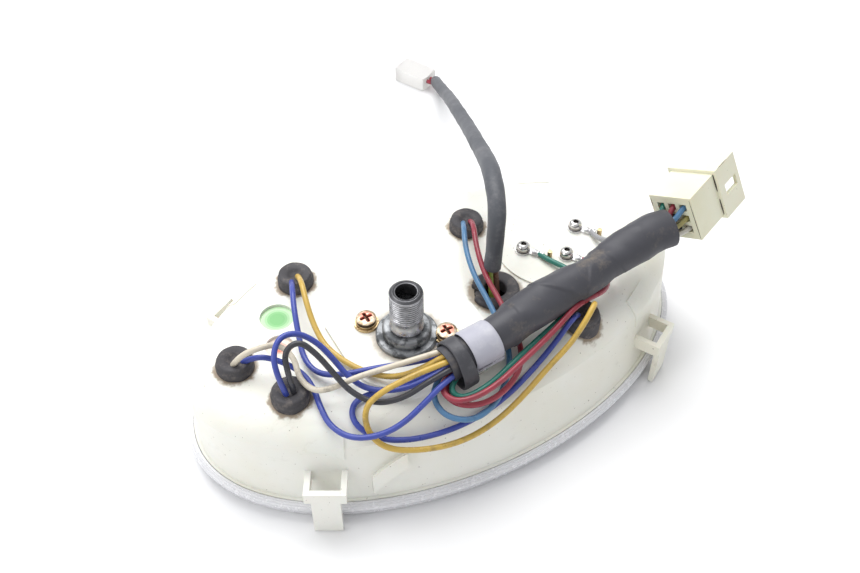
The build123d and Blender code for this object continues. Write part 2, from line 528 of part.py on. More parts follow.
def needle(x, y, length, heading):
    """A pointer: a hub and a tapering blade that points along a heading from +X."""
    with BuildSketch(Plane(origin=(x, y, NEEDLE_LOW), x_dir=(math.cos(heading), math.sin(heading), 0),
                           z_dir=(0, 0, 1))) as outline:
        Polygon((-6, -1.1), (length, -0.35), (length, 0.35), (-6, 1.1), align=None)
    extrude(outline.sketch, amount=NEEDLE_THICK)
    post(x, y, NEEDLE_HUB_R, NEEDLE_LOW - 0.8, NEEDLE_LOW + NEEDLE_THICK + 0.6)
    post(x, y, SPINDLE_R, NEEDLE_LOW, NEEDLE_LOW + NEEDLE_THICK + 0.6, mode=Mode.SUBTRACT)


SPEED_ZERO = math.radians(150)
FUEL_ZERO = math.radians(-135)
with BuildPart() as speed_needle:
    needle(FITTING_X, FITTING_Y, SPEED_NEEDLE, SPEED_ZERO)
speed_needle.part.label = "speed_needle"
export_step(speed_needle.part, "parts/speed_needle.step")

SPRING_BAND = 0.25
SPRING_HIGH = 0.5
SPRING_STEP = 0.45       # growth of the coil's radius at each half turn
with BuildPart() as hairspring:
    with BuildSketch(Plane.XY.offset(BRIDGE_TOP + 0.4)) as coil:
        with BuildLine() as turns:
            radius = SPINDLE_R + 0.6 + SPRING_BAND
            centre = FITTING_X
            for half_turn in range(10):
                side = 1 if half_turn % 2 == 0 else -1
                CenterArc((centre, FITTING_Y), radius, 0 if side > 0 else 180, 180)
                centre = centre + side * SPRING_STEP / 2
                radius = radius + SPRING_STEP / 2
        trace(line_width=SPRING_BAND)
    extrude(amount=SPRING_HIGH)
hairspring.part.label = "hairspring"
export_step(hairspring.part, "parts/hairspring.step")

# ---------------------------------------------------------------- odometer
with BuildPart() as odometer_cross_shaft:
    rod((CROSS_X, LUG_NEAR - 2, WORM_MID), (CROSS_X, LUG_FAR + 2, WORM_MID), CROSS_R)
    rod((CROSS_X, FITTING_Y - 1.5, WORM_MID), (CROSS_X, FITTING_Y + 1.5, WORM_MID), WHEEL_R)
    rod((CROSS_X, DRUM_AXIS_Y - 2.5, WORM_MID), (CROSS_X, DRUM_AXIS_Y + 2.5, WORM_MID), CROSS_WORM_R)
odometer_cross_shaft.part.label = "odometer_cross_shaft"
export_step(odometer_cross_shaft.part, "parts/odometer_cross_shaft.step")

with BuildPart() as odometer_axle:
    rod((FITTING_X - FRAME_HALF, DRUM_AXIS_Y, DRUM_AXIS_Z), (FITTING_X + FRAME_HALF, DRUM_AXIS_Y, DRUM_AXIS_Z),
        DRUM_AXLE_R)
odometer_axle.part.label = "odometer_axle"
export_step(odometer_axle.part, "parts/odometer_axle.step")

DRUM_BORE_R = DRUM_AXLE_R + SHAFT_CLEARANCE
with BuildPart() as odometer_drums:
    for number in range(DRUM_COUNT):
        middle = DRUM_MID_X + DRUM_PITCH * (number - (DRUM_COUNT - 1) / 2)
        rod((middle - DRUM_WIDTH / 2, DRUM_AXIS_Y, DRUM_AXIS_Z), (middle + DRUM_WIDTH / 2, DRUM_AXIS_Y, DRUM_AXIS_Z),
            DRUM_R)
    rod((DRUM_MID_X - 30, DRUM_AXIS_Y, DRUM_AXIS_Z), (DRUM_MID_X + 30, DRUM_AXIS_Y, DRUM_AXIS_Z), DRUM_BORE_R,
        mode=Mode.SUBTRACT)
odometer_drums.part.label = "odometer_drums"
export_step(odometer_drums.part, "parts/odometer_drums.step")

with BuildPart() as odometer_gear:
    rod((CROSS_X - 1.2, DRUM_AXIS_Y, DRUM_AXIS_Z), (CROSS_X + 1.2, DRUM_AXIS_Y, DRUM_AXIS_Z), DRUM_R)
    rod((CROSS_X - 2, DRUM_AXIS_Y, DRUM_AXIS_Z), (CROSS_X + 2, DRUM_AXIS_Y, DRUM_AXIS_Z), DRUM_BORE_R,
        mode=Mode.SUBTRACT)
odometer_gear.part.label = "odometer_gear"
export_step(odometer_gear.part, "parts/odometer_gear.step")

# ---------------------------------------------------------------- fuel gauge
GAUGE_FOOT = 22.0
BOSS_LEVEL = BACK_HEIGHT + GAUGE_BOSS
TAG_THICK = 0.8
NUT_R = 2.6
NUT_HIGH = 2.0
with BuildPart() as fuel_gauge_body:
    post(GAUGE_X, GAUGE_Y, GAUGE_BODY_R, GAUGE_FOOT, INSIDE_TOP)
    fillet(fuel_gauge_body.edges().group_by(Axis.Z)[0], radius=1.5)
    post(GAUGE_X, GAUGE_Y, 3, DIAL_BACK, GAUGE_FOOT)
    post(GAUGE_X, GAUGE_Y, SPINDLE_R + SPINDLE_CLEARANCE, DIAL_BACK, GAUGE_FOOT + 6, mode=Mode.SUBTRACT)
    for x, y in GAUGE_SCREWS:
        post(x, y, GAUGE_STUD_R, INSIDE_TOP - 4, INSIDE_TOP, mode=Mode.SUBTRACT)
    for x, y in GAUGE_PINS:
        post(x, y, PIN_R, INSIDE_TOP - 2, INSIDE_TOP, mode=Mode.SUBTRACT)
fuel_gauge_body.part.label = "fuel_gauge_body"
export_step(fuel_gauge_body.part, "parts/fuel_gauge_body.step")

with BuildPart() as fuel_spindle:
    post(GAUGE_X, GAUGE_Y, SPINDLE_R, NEEDLE_LOW, GAUGE_FOOT + 4)
fuel_spindle.part.label = "fuel_spindle"
export_step(fuel_spindle.part, "parts/fuel_spindle.step")

with BuildPart() as fuel_needle:
    needle(GAUGE_X, GAUGE_Y, FUEL_NEEDLE, FUEL_ZERO)
fuel_needle.part.label = "fuel_needle"
export_step(fuel_needle.part, "parts/fuel_needle.step")

with BuildPart() as fuel_terminal_screws:
    for x, y in GAUGE_SCREWS:
        post(x, y, GAUGE_STUD_R, INSIDE_TOP - 4, BOSS_LEVEL + TAG_THICK)
        post(x, y, NUT_R, BOSS_LEVEL + TAG_THICK, BOSS_LEVEL + TAG_THICK + NUT_HIGH)
fuel_terminal_screws.part.label = "fuel_terminal_screws"
export_step(fuel_terminal_screws.part, "parts/fuel_terminal_screws.step")

TAG_LENGTH = 6.5
TAG_HEADING = math.radians(-55)
TAG_R = 3.0
with BuildPart() as ring_terminals:
    for x, y in GAUGE_SCREWS:
        post(x, y, TAG_R, BOSS_LEVEL, BOSS_LEVEL + TAG_THICK)
        with BuildSketch(Plane(origin=(x, y, BOSS_LEVEL), x_dir=(math.cos(TAG_HEADING), math.sin(TAG_HEADING), 0),
                               z_dir=(0, 0, 1))) as tail:
            with Locations((TAG_LENGTH / 2, 0)):
                Rectangle(TAG_LENGTH, 2.4)
        extrude(tail.sketch, amount=TAG_THICK)
        post(x, y, GAUGE_STUD_R, BOSS_LEVEL, BOSS_LEVEL + TAG_THICK, mode=Mode.SUBTRACT)
ring_terminals.part.label = "ring_terminals"
export_step(ring_terminals.part, "parts/ring_terminals.step")

with BuildPart() as fuel_gauge_pins:
    for x, y in GAUGE_PINS:
        post(x, y, PIN_R, INSIDE_TOP - 2, BOSS_LEVEL + 3)
fuel_gauge_pins.part.label = "fuel_gauge_pins"
export_step(fuel_gauge_pins.part, "parts/fuel_gauge_pins.step")

# ---------------------------------------------------------------- bulb sockets, bulbs and lead grommet
HEAD_TOP = BACK_HEIGHT + SOCKET_HEAD
SOCKET_FOOT = BACK_HEIGHT - SOCKET_DEPTH
with BuildPart() as bulb_sockets:
    for x, y in SOCKETS:
        post(x, y, SOCKET_HEAD_R, CREASE_HEIGHT, HEAD_TOP)
    fillet(bulb_sockets.edges().group_by(Axis.Z)[-1], radius=0.8)
    add(housing_solid.part, mode=Mode.SUBTRACT)
    for x, y in SOCKETS:
        post(x, y, SOCKET_BODY_R, SOCKET_FOOT, BACK_HEIGHT)
bulb_sockets.part.label = "bulb_sockets"
export_step(bulb_sockets.part, "parts/bulb_sockets.step")

with BuildPart() as bulbs:
    for x, y in SOCKETS:
        post(x, y, BULB_R, SOCKET_FOOT - BULB_LENGTH, SOCKET_FOOT)
    fillet(bulbs.edges().group_by(Axis.Z)[0], radius=BULB_R * 0.8)
bulbs.part.label = "bulbs"
export_step(bulbs.part, "parts/bulbs.step")

with BuildPart() as lead_grommet:
    post(GROMMET_X, GROMMET_Y, GROMMET_HOLE_R, INSIDE_TOP - 1, BACK_HEIGHT)
    post(GROMMET_X, GROMMET_Y, GROMMET_HOLE_R + 1.5, BACK_HEIGHT, BACK_HEIGHT + GROMMET_HEAD)
    post(GROMMET_X, GROMMET_Y, GROMMET_BORE_R, INSIDE_TOP - 1, BACK_HEIGHT + GROMMET_HEAD, mode=Mode.SUBTRACT)
lead_grommet.part.label = "lead_grommet"
export_step(lead_grommet.part, "parts/lead_grommet.step")

# ---------------------------------------------------------------- cords
SHARE = 0.45             # share of the shorter run that each corner's arc takes


def corner_radii(route):
    """Radius of the arc at each corner: its share of the shorter run, over the tangent of half the turn."""
    runs = [Vector(*after) - Vector(*before) for before, after in zip(route, route[1:])]
    radii = []
    for before, after in zip(runs, runs[1:]):
        half = math.radians(before.get_angle(after)) / 2
        radii.append(SHARE * min(before.length, after.length) / math.tan(half))
    return radii


def cord_tube(name, route, radius):
    """A round tube along straight runs joined by tangent arcs. Prints its radii, and its volume over section by length."""
    radii = corner_radii(route)
    with BuildPart() as tube:
        with BuildLine() as path:
            FilletPolyline(*route, radius=radii)
        with BuildSketch(Plane(origin=route[0], z_dir=Vector(*route[1]) - Vector(*route[0]))):
            Circle(radius)
        sweep()
    length = sum(edge.length for edge in path.edges())
    share = tube.part.volume / (math.pi * radius ** 2 * length)
    print(name, "length", round(length, 1), "volume share", round(share, 4), "radii", [round(r, 1) for r in radii])
    return tube.part


harness_sleeve_tube = cord_tube("harness_sleeve", SLEEVE_ROUTE, SLEEVE_R)
with BuildPart() as harness_sleeve:
    add(harness_sleeve_tube)
harness_sleeve.part.label = "harness_sleeve"
export_step(harness_sleeve.part, "parts/harness_sleeve.step")

side_lead_tube = cord_tube("side_lead", LEAD_ROUTE, LEAD_R)
with BuildPart() as side_lead:
    add(side_lead_tube)
side_lead.part.label = "side_lead"
export_step(side_lead.part, "parts/side_lead.step")

# The ends of a wire are pushed into a rubber head or the sleeve and cut off flush.
for name, route in WIRES.items():
    route_tube = cord_tube(name, route, WIRE / 2)
    with BuildPart() as wire:
        add(route_tube)
        add(bulb_sockets.part, mode=Mode.SUBTRACT)
        add(harness_sleeve.part, mode=Mode.SUBTRACT)
        add(ring_terminals.part, mode=Mode.SUBTRACT)
    wire.part.label = "wire_" + name
    export_step(wire.part, f"parts/wire_{name}.step")

LEAD_START = LEAD_ROUTE[0]
for name, shift in (("lead_wire_green", -1.15), ("lead_wire_brown", 1.15)):
    with BuildPart() as lead_wire:
        rod((GROMMET_X - 0.5 + shift, GROMMET_Y - 1, INSIDE_TOP - 1),
            (LEAD_START[0] + shift, LEAD_START[1], LEAD_START[2] + 1), WIRE / 2)
        add(side_lead.part, mode=Mode.SUBTRACT)
    lead_wire.part.label = name
    export_step(lead_wire.part, f"parts/{name}.step")

# ---------------------------------------------------------------- harness clamp
SLEEVE_START = Vector(*SLEEVE_ROUTE[0])
SLEEVE_WAY = (Vector(*SLEEVE_ROUTE[1]) - SLEEVE_START).normalized()


def ring_on_sleeve(along, width, inner, outer):
    """A band round the sleeve's first run, its middle at a distance from the sleeve's left end."""
    foot = SLEEVE_START + SLEEVE_WAY * (along - width / 2)
    with BuildSketch(Plane(origin=foot, z_dir=SLEEVE_WAY)) as outline:
        Circle(outer)
        Circle(inner, mode=Mode.SUBTRACT)
    extrude(outline.sketch, amount=width)


CLAMP_IN = SLEEVE_R + 0.05
CLAMP_OUT = CLAMP_IN + CLAMP_THICK
CLAMP_MID = SLEEVE_START + SLEEVE_WAY * CLAMP_ALONG
STRAP_HALF = 4.2
STRAP_FAR = SCREWS[1][1]
RISER_Y = CLAMP_MID.Y + CLAMP_OUT
with BuildPart() as harness_clamp:
    ring_on_sleeve(CLAMP_ALONG, CLAMP_WIDTH, CLAMP_IN, CLAMP_OUT)
    middle = (SCREWS[1][0] + CLAMP_MID.X) / 2
    block(middle - STRAP_HALF, middle + STRAP_HALF, RISER_Y - CLAMP_THICK, STRAP_FAR, PAD_LEVEL, CLIP_SEAT)
    block(middle - STRAP_HALF, middle + STRAP_HALF, RISER_Y - CLAMP_THICK, RISER_Y, PAD_LEVEL, CLAMP_MID.Z)
    post(SCREWS[1][0], SCREWS[1][1], STRAP_HALF + 1, PAD_LEVEL, CLIP_SEAT)
    post(SCREWS[1][0], SCREWS[1][1], SCREW_SHANK_R, PAD_LEVEL, CLIP_SEAT, mode=Mode.SUBTRACT)
    post(FITTING_X, FITTING_Y, FLANGE_R, PAD_LEVEL, HUB_TOP, mode=Mode.SUBTRACT)
    add(harness_sleeve.part, mode=Mode.SUBTRACT)
harness_clamp.part.label = "harness_clamp"
export_step(harness_clamp.part, "parts/harness_clamp.step")

with BuildPart() as clamp_band:
    ring_on_sleeve(BAND_ALONG, BAND_WIDTH, SLEEVE_R, SLEEVE_R + BAND_THICK)
    add(harness_sleeve.part, mode=Mode.SUBTRACT)
clamp_band.part.label = "clamp_band"
export_step(clamp_band.part, "parts/clamp_band.step")

# ---------------------------------------------------------------- main connector
def connector_plane(along):
    """A plane across the main connector, at a distance from the face where its wires go in."""
    way = Vector(*CONNECTOR_AXIS).normalized()
    return Plane(origin=Vector(*CONNECTOR_AT) + way * along, x_dir=CONNECTOR_ACROSS, z_dir=way)


def connector_box(start, length, width, height, mode=Mode.ADD):
    """A block along the connector's own axis."""
    with BuildSketch(connector_plane(start)) as outline:
        Rectangle(width, height)
    extrude(outline.sketch, amount=length, mode=mode)


def terminal_grid(start, length, half, mode=Mode.ADD):
    """The connector's nine square ways, three by three."""
    with BuildSketch(connector_plane(start)) as outline:
        with GridLocations(TERMINAL_PITCH, TERMINAL_PITCH, 3, 3):
            Rectangle(2 * half, 2 * half)
    extrude(outline.sketch, amount=length, mode=mode)


COLLAR_W = CONNECTOR_W + 2 * COLLAR_STEP
COLLAR_H = CONNECTOR_H + 2 * COLLAR_STEP
CONNECTOR_LENGTH = CONNECTOR_BODY + COLLAR_LENGTH
CAVITY_FLOOR = CONNECTOR_LENGTH - CAVITY_DEPTH
WINDOW_LENGTH = 7.5
WINDOW_HEIGHT = 4.4
with BuildPart() as main_connector:
    connector_box(0, CONNECTOR_BODY, CONNECTOR_W, CONNECTOR_H)
    connector_box(CONNECTOR_BODY, COLLAR_LENGTH, COLLAR_W, COLLAR_H)
    connector_box(CAVITY_FLOOR, CAVITY_DEPTH, COLLAR_W - 2 * COLLAR_WALL, COLLAR_H - 2 * COLLAR_WALL,
                  mode=Mode.SUBTRACT)
    terminal_grid(0, CAVITY_FLOOR, TERMINAL_HALF, mode=Mode.SUBTRACT)
    with BuildSketch(connector_plane(CAVITY_FLOOR + 1)) as window:
        with Locations((COLLAR_W / 2, 0)):
            Rectangle(3 * COLLAR_WALL, WINDOW_HEIGHT)
    extrude(window.sketch, amount=WINDOW_LENGTH, mode=Mode.SUBTRACT)
main_connector.part.label = "main_connector"
export_step(main_connector.part, "parts/main_connector.step")

TERMINAL_SINK = 4.0
with BuildPart() as connector_terminals:
    terminal_grid(TERMINAL_SINK, CAVITY_FLOOR - TERMINAL_SINK, TERMINAL_HALF)
    terminal_grid(CAVITY_FLOOR - 6, 6, TERMINAL_HALF - 0.6, mode=Mode.SUBTRACT)
connector_terminals.part.label = "connector_terminals"
export_step(connector_terminals.part, "parts/connector_terminals.step")

SLEEVE_END = Vector(*SLEEVE_ROUTE[-1])
SLEEVE_END_WAY = (SLEEVE_END - Vector(*SLEEVE_ROUTE[-2])).normalized()
BUNDLE_PITCH = 2.9
across = Plane(origin=SLEEVE_END - SLEEVE_END_WAY, x_dir=CONNECTOR_ACROSS, z_dir=SLEEVE_END_WAY)
with BuildPart() as connector_wires:
    for column in (-1, 0, 1):
        for row in (-1, 0, 1):
            start = across.from_local_coords(Vector(column * BUNDLE_PITCH, row * BUNDLE_PITCH, 0))
            end = connector_plane(TERMINAL_SINK).from_local_coords(
                Vector(column * TERMINAL_PITCH, row * TERMINAL_PITCH, 0))
            rod(tuple(start), tuple(end), WIRE / 2)
    add(harness_sleeve.part, mode=Mode.SUBTRACT)
    add(main_connector.part, mode=Mode.SUBTRACT)
    add(connector_terminals.part, mode=Mode.SUBTRACT)
connector_wires.part.label = "connector_wires"
export_step(connector_wires.part, "parts/connector_wires.step")

# ---------------------------------------------------------------- side connector
LEAD_END = Vector(*LEAD_ROUTE[-1])
LEAD_WAY = (LEAD_END - Vector(*LEAD_ROUTE[-2])).normalized()
PLUG_GAP = 4.0           # bare wires between the lead's sleeve and its connector
PLUG_FLOOR = 0.2
PLUG_WAY = Vector(-0.44, 0.90, 0).normalized()
plug_start = LEAD_END + LEAD_WAY * 1.0 + PLUG_WAY * PLUG_GAP
with BuildPart() as side_connector:
    with BuildSketch(Plane(origin=(plug_start.X, plug_start.Y, PLUG_FLOOR), x_dir=PLUG_WAY, z_dir=(0, 0, 1))) as plug:
        with Locations((SIDE_PLUG_LENGTH / 2, 0)):
            Rectangle(SIDE_PLUG_LENGTH, SIDE_PLUG_WIDTH)
    extrude(plug.sketch, amount=SIDE_PLUG_HEIGHT)
    fillet(side_connector.edges().filter_by(Axis.Z), radius=0.8)
side_connector.part.label = "side_connector"
export_step(side_connector.part, "parts/side_connector.step")

PLUG_MID = PLUG_FLOOR + SIDE_PLUG_HEIGHT / 2
PLUG_SIDE = Vector(-PLUG_WAY.Y, PLUG_WAY.X, 0)
with BuildPart() as side_connector_wires:
    for shift in (-1.3, 1.3):
        start = LEAD_END - LEAD_WAY * 2 + PLUG_SIDE * shift
        end = Vector(plug_start.X, plug_start.Y, PLUG_MID) + PLUG_WAY * 2 + PLUG_SIDE * shift
        rod(tuple(start), tuple(end), WIRE / 2)
    add(side_lead.part, mode=Mode.SUBTRACT)
    add(side_connector.part, mode=Mode.SUBTRACT)
side_connector_wires.part.label = "side_connector_wires"
export_step(side_connector_wires.part, "parts/side_connector_wires.step")
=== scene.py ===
# %% [markdown]
# # The back of a motorcycle instrument cluster
# The cluster lies on its clear lens, so its cream back, its cable fitting and its loose wiring are on show.
# The solids come from a CAD model and are the fixed frame: each keeps its place, and gets a finish here or
# a finer surface that stands for it. Everything is in metres.

# %% Load the frame
import math

import bpy
import numpy as np
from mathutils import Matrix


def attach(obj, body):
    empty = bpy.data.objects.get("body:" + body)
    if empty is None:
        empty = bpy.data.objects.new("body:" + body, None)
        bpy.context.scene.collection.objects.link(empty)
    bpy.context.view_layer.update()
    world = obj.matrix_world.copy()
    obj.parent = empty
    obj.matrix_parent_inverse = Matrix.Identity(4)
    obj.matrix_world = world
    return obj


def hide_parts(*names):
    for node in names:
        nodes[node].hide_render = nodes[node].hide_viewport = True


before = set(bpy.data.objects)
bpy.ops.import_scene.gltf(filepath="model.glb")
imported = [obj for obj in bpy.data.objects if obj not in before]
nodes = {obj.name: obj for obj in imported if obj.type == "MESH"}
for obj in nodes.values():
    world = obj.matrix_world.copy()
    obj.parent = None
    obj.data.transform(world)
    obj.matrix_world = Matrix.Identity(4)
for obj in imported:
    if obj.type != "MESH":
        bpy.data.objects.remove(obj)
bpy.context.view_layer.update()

MM = 0.001
print("nodes", len(nodes))

# %% [markdown]
# ## Putting a surface into a mesh
# Every new piece is a grid of points: rows run one way over the surface, columns the other. A row or a
# column can close on itself, as round a tube. Blender could also build these with its own primitives, but a
# grid worked out with numpy keeps the formula in one place and gives even faces for the bump.


# %% Grid to mesh
def grid_faces(rows, columns, close_rows=False, close_columns=True):
    """Corner numbers of the quads between rows and columns; a closed way joins its last to its first."""
    r = np.arange(rows if close_rows else rows - 1)
    c = np.arange(columns if close_columns else columns - 1)
    r, c = np.meshgrid(r, c, indexing="ij")
    r2, c2 = (r + 1) % rows, (c + 1) % columns
    quads = np.stack([r * columns + c, r * columns + c2, r2 * columns + c2, r2 * columns + c], axis=-1)
    return quads.reshape(-1, 4)


def put(name, shells, finish, body="cluster", stands_for=(), sharp=35.0):
    """One object from (points, quads) shells in mm: doubles merged, faces outwards, creases kept."""
    points, faces, start = [], [], 0
    for grid, quads in shells:
        flat = np.asarray(grid, float).reshape(-1, 3)
        points.append(flat)
        faces.append(np.asarray(quads) + start)
        start += len(flat)
    points = np.concatenate(points) * MM
    faces = np.concatenate(faces)
    mesh = bpy.data.meshes.new(name)
    mesh.from_pydata(points.tolist(), [], faces.tolist())
    obj = bpy.data.objects.new(name, mesh)
    bpy.context.scene.collection.objects.link(obj)
    bpy.ops.object.select_all(action="DESELECT")
    bpy.context.view_layer.objects.active = obj
    obj.select_set(True)
    bpy.ops.object.mode_set(mode="EDIT")
    bpy.ops.mesh.select_all(action="SELECT")
    bpy.ops.mesh.remove_doubles(threshold=1e-6)
    bpy.ops.mesh.normals_make_consistent(inside=False)
    bpy.ops.object.mode_set(mode="OBJECT")
    obj.select_set(False)
    mesh.shade_smooth()
    mesh.set_sharp_from_angle(angle=math.radians(sharp))
    obj.data.materials.append(finish)
    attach(obj, body)
    if stands_for:
        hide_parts(*stands_for)
    print(name, len(mesh.vertices), "points", len(mesh.polygons), "faces")
    return obj


def turned(profile, centre, steps=64, close=False):
    """A profile of (radius, height) pairs turned round an upright axis; close joins its last pair to its first."""
    profile = np.asarray(profile, float)
    angle = np.linspace(0, 2 * np.pi, steps, endpoint=False)
    x = centre[0] + profile[:, 0:1] * np.cos(angle)
    y = centre[1] + profile[:, 0:1] * np.sin(angle)
    z = np.repeat(profile[:, 1:2], steps, axis=1)
    return np.stack([x, y, z], axis=-1), grid_faces(len(profile), steps, close_rows=close)


def unit(vectors):
    """The same vectors at length one."""
    return vectors / np.linalg.norm(vectors, axis=-1, keepdims=True)


def ways(path):
    """Unit vectors ahead, sideways and upwards at each point of a path."""
    ahead = unit(np.gradient(path, axis=0))
    side = unit(np.cross(ahead, (0, 0, 1.0)))
    return ahead, side, np.cross(side, ahead)


def along(path, section):
    """A closed section of (side, up) pairs carried along a path. Its ends are filled by a fan to their middles."""
    ahead, side, lift = ways(path)
    if section.ndim == 2:
        section = np.repeat(section[None], len(path), axis=0)
    grid = path[:, None] + section[..., 0:1] * side[:, None] + section[..., 1:2] * lift[:, None]
    ends = [np.repeat(g.mean(axis=0)[None], len(g), axis=0)[None] for g in (grid[0], grid[-1])]
    grid = np.concatenate([ends[0], grid, ends[1]])
    return grid, grid_faces(len(grid), section.shape[1])


def round_section(width, height, corner, points=6):
    """A rectangle with rounded corners, as (side, up) pairs in order."""
    quarter = np.linspace(0, np.pi / 2, points)
    out = []
    for k, (sx, sy) in enumerate(((1, 1), (-1, 1), (-1, -1), (1, -1))):
        a = quarter + k * np.pi / 2
        out.append(np.stack([sx * (width / 2 - corner) + corner * np.cos(a),
                             sy * (height / 2 - corner) + corner * np.sin(a)], axis=-1))
    return np.concatenate(out)


# %% [markdown]
# ## Finishes
# Old plastic is never one colour: it yellows in patches, holds grime in specks, and its gloss wears. Round
# the foot of each part that stands on the housing a brown ring is painted: part stain, part painted contact
# shade. Each finish mixes a few procedural noises on Object coordinates, so it needs no picture and
# stays put when the camera moves. Constant numbers sit on the shader's own sockets.


# %% Small helpers for shader graphs
class Graph:
    """A material's node tree with a short way to add and link nodes."""

    def __init__(self, name):
        self.material = bpy.data.materials.new(name)
        self.material.use_nodes = True
        self.tree = self.material.node_tree
        self.shader = self.tree.nodes["Principled BSDF"]
        self.coords = self.tree.nodes.new("ShaderNodeTexCoord").outputs["Object"]

    def set(self, **values):
        """Plain values on the shader's sockets, named with underscores for spaces."""
        for key, value in values.items():
            self.shader.inputs[key.replace("_", " ")].default_value = value

    def link(self, source, target):
        self.tree.links.new(source, target)

    def new(self, kind, **values):
        """A new node, with plain values on its sockets, named with underscores for spaces."""
        n = self.tree.nodes.new("ShaderNode" + kind)
        for key, value in values.items():
            n.inputs[key.replace("_", " ")].default_value = value
        return n

    def noise(self, scale, detail=3.0, rough=0.55, coords=None):
        """Soft random value: scale is how fine it is, detail and rough how broken up."""
        n = self.new("TexNoise", Scale=scale, Detail=detail, Roughness=rough, Distortion=0.0)
        self.link(coords or self.coords, n.inputs["Vector"])
        return n.outputs["Fac"]

    def stretch(self, scale, turn=(0, 0, 0), move=(0, 0, 0)):
        """Object coordinates scaled, turned and moved."""
        n = self.new("Mapping", Scale=scale, Rotation=turn, Location=move)
        self.link(self.coords, n.inputs["Vector"])
        return n.outputs["Vector"]

    def ramp(self, value, low, high, out_low=0.0, out_high=1.0):
        """Smooth step: low becomes out_low and high becomes out_high."""
        n = self.new("MapRange", From_Min=low, From_Max=high, To_Min=out_low, To_Max=out_high)
        n.clamp = True
        n.interpolation_type = "SMOOTHSTEP"
        self.link(value, n.inputs["Value"])
        return n.outputs["Result"]

    def math(self, kind, a, b):
        n = self.new("Math")
        n.operation = kind
        for socket, v in zip(n.inputs, (a, b)):
            if isinstance(v, (int, float)):
                socket.default_value = v
            else:
                self.link(v, socket)
        return n.outputs["Value"]

    def mix(self, share, a, b):
        """Colour a turning into colour b by share."""
        n = self.new("Mix")
        n.data_type = "RGBA"
        self.link(share, n.inputs["Factor"])
        for socket, v in ((n.inputs[6], a), (n.inputs[7], b)):
            if isinstance(v, tuple):
                socket.default_value = (*v, 1.0)
            else:
                self.link(v, socket)
        return n.outputs[2]

    def place(self, axis):
        """The X, Y or Z of the point being shaded."""
        n = self.new("SeparateXYZ")
        self.link(self.coords, n.inputs["Vector"])
        return n.outputs[axis]

    def far_from(self, x, y):
        """Level distance in metres from an upright line at x, y millimetres."""
        flat = self.stretch((1, 1, 0), move=(-x * MM, -y * MM, 0))
        n = self.new("VectorMath")
        n.operation = "LENGTH"
        self.link(flat, n.inputs[0])
        return n.outputs["Value"]

    def bump(self, height, strength, distance):
        n = self.new("Bump", Strength=strength, Distance=distance)
        self.link(height, n.inputs["Height"])
        self.link(n.outputs["Normal"], self.shader.inputs["Normal"])

    def colour(self, source):
        self.link(source, self.shader.inputs["Base Color"])

    def roughness(self, source):
        self.link(source, self.shader.inputs["Roughness"])


# %% Cream plastic of the housing
FITTING = (-21.5, -14.5)
GROMMET = (16.6, -11.2)
SOCKET_SPOTS = [(-79.2, 2.0), (-68.0, -19.2), (-45.0, 28.5), (24.6, 23.2), (36.4, -37.8)]
CREAM = (0.83, 0.825, 0.765)
YELLOWED = (0.77, 0.745, 0.62)
GRIME = (0.16, 0.125, 0.085)


def cream_plastic(name, stain_and_shade_rings=(), yellow=0.5, grime=1.0, plain=CREAM, aged=YELLOWED):
    """Cream plastic: yellow patches, dark specks, soft smears, and round each spot given a brown ring of stain and
    painted contact shade.
    """
    g = Graph(name)
    g.set(Roughness=0.42, Specular_IOR_Level=0.45, Subsurface_Weight=0.05, Subsurface_Scale=0.004)
    patches = g.ramp(g.noise(22, 4), 0.42, 0.68, 0, yellow)
    tint = g.mix(patches, plain, aged)
    specks = g.ramp(g.noise(900, 2, 0.5), 0.71, 0.78, 0, 0.75 * grime)
    tint = g.mix(specks, tint, GRIME)
    blots = g.ramp(g.noise(260, 4, 0.7), 0.70, 0.80, 0, 0.5 * grime)
    tint = g.mix(blots, tint, GRIME)
    smear = g.ramp(g.noise(60, 6, 0.75, coords=g.stretch((1, 3, 2), turn=(0, 0, 0.7))), 0.58, 0.80, 0, 0.28 * grime)
    tint = g.mix(smear, tint, (0.36, 0.32, 0.24))
    # Each ring darkens the housing round a part's foot: brown stain and painted contact shade where the part meets the
    # plastic.
    for x, y, inner, outer, share in stain_and_shade_rings:
        away = g.math("ADD", g.far_from(x, y), g.ramp(g.noise(350, 3), 0.3, 0.7, -0.0006, 0.0006))
        ring = g.ramp(away, inner * MM, outer * MM, share, 0)
        tint = g.mix(ring, tint, (0.20, 0.12, 0.05))
    g.colour(tint)
    g.roughness(g.ramp(g.noise(140, 4), 0.3, 0.7, 0.34, 0.52))
    g.bump(g.noise(700, 3), 0.12, 0.0004)
    return g.material


# Rings round the sockets, the cable fitting and the grommet: stain plus painted contact shade at each foot.
housing_finish = cream_plastic("cream housing", [(x, y, 7.0, 8.6, 0.8) for x, y in SOCKET_SPOTS]
                               + [(*FITTING, 11.2, 14.0, 0.55), (*GROMMET, 9.0, 11.5, 0.75)])
bracket_finish = cream_plastic("cream brackets", yellow=0.75, grime=1.3)
connector_finish = cream_plastic("cream connector", (), 0.8, 0.6, (0.80, 0.785, 0.62), (0.74, 0.715, 0.50))


# %% Metals
def metal(name, tint, dull, rough=(0.25, 0.5), scale=500, share=(0.45, 0.62)):
    """Bright metal with duller patches and fine scratches."""
    g = Graph(name)
    g.set(Metallic=1.0)
    g.colour(g.mix(g.ramp(g.noise(scale, 5, 0.65), *share), tint, dull))
    g.roughness(g.ramp(g.noise(scale * 0.6, 4), 0.35, 0.65, *rough))
    g.bump(g.noise(scale * 3, 2), 0.2, 0.0001)
    return g.material


worn_steel = metal("worn steel", (0.62, 0.61, 0.58), (0.17, 0.155, 0.13))
tin_finish = metal("tinned tag", (0.78, 0.77, 0.78), (0.55, 0.54, 0.54), (0.3, 0.5), 300)
hub_steel = metal("dull plated hub", (0.34, 0.35, 0.36), (0.11, 0.115, 0.12), (0.5, 0.7), 260)
brass = metal("yellow plating", (0.62, 0.47, 0.27), (0.24, 0.17, 0.09), (0.3, 0.5))


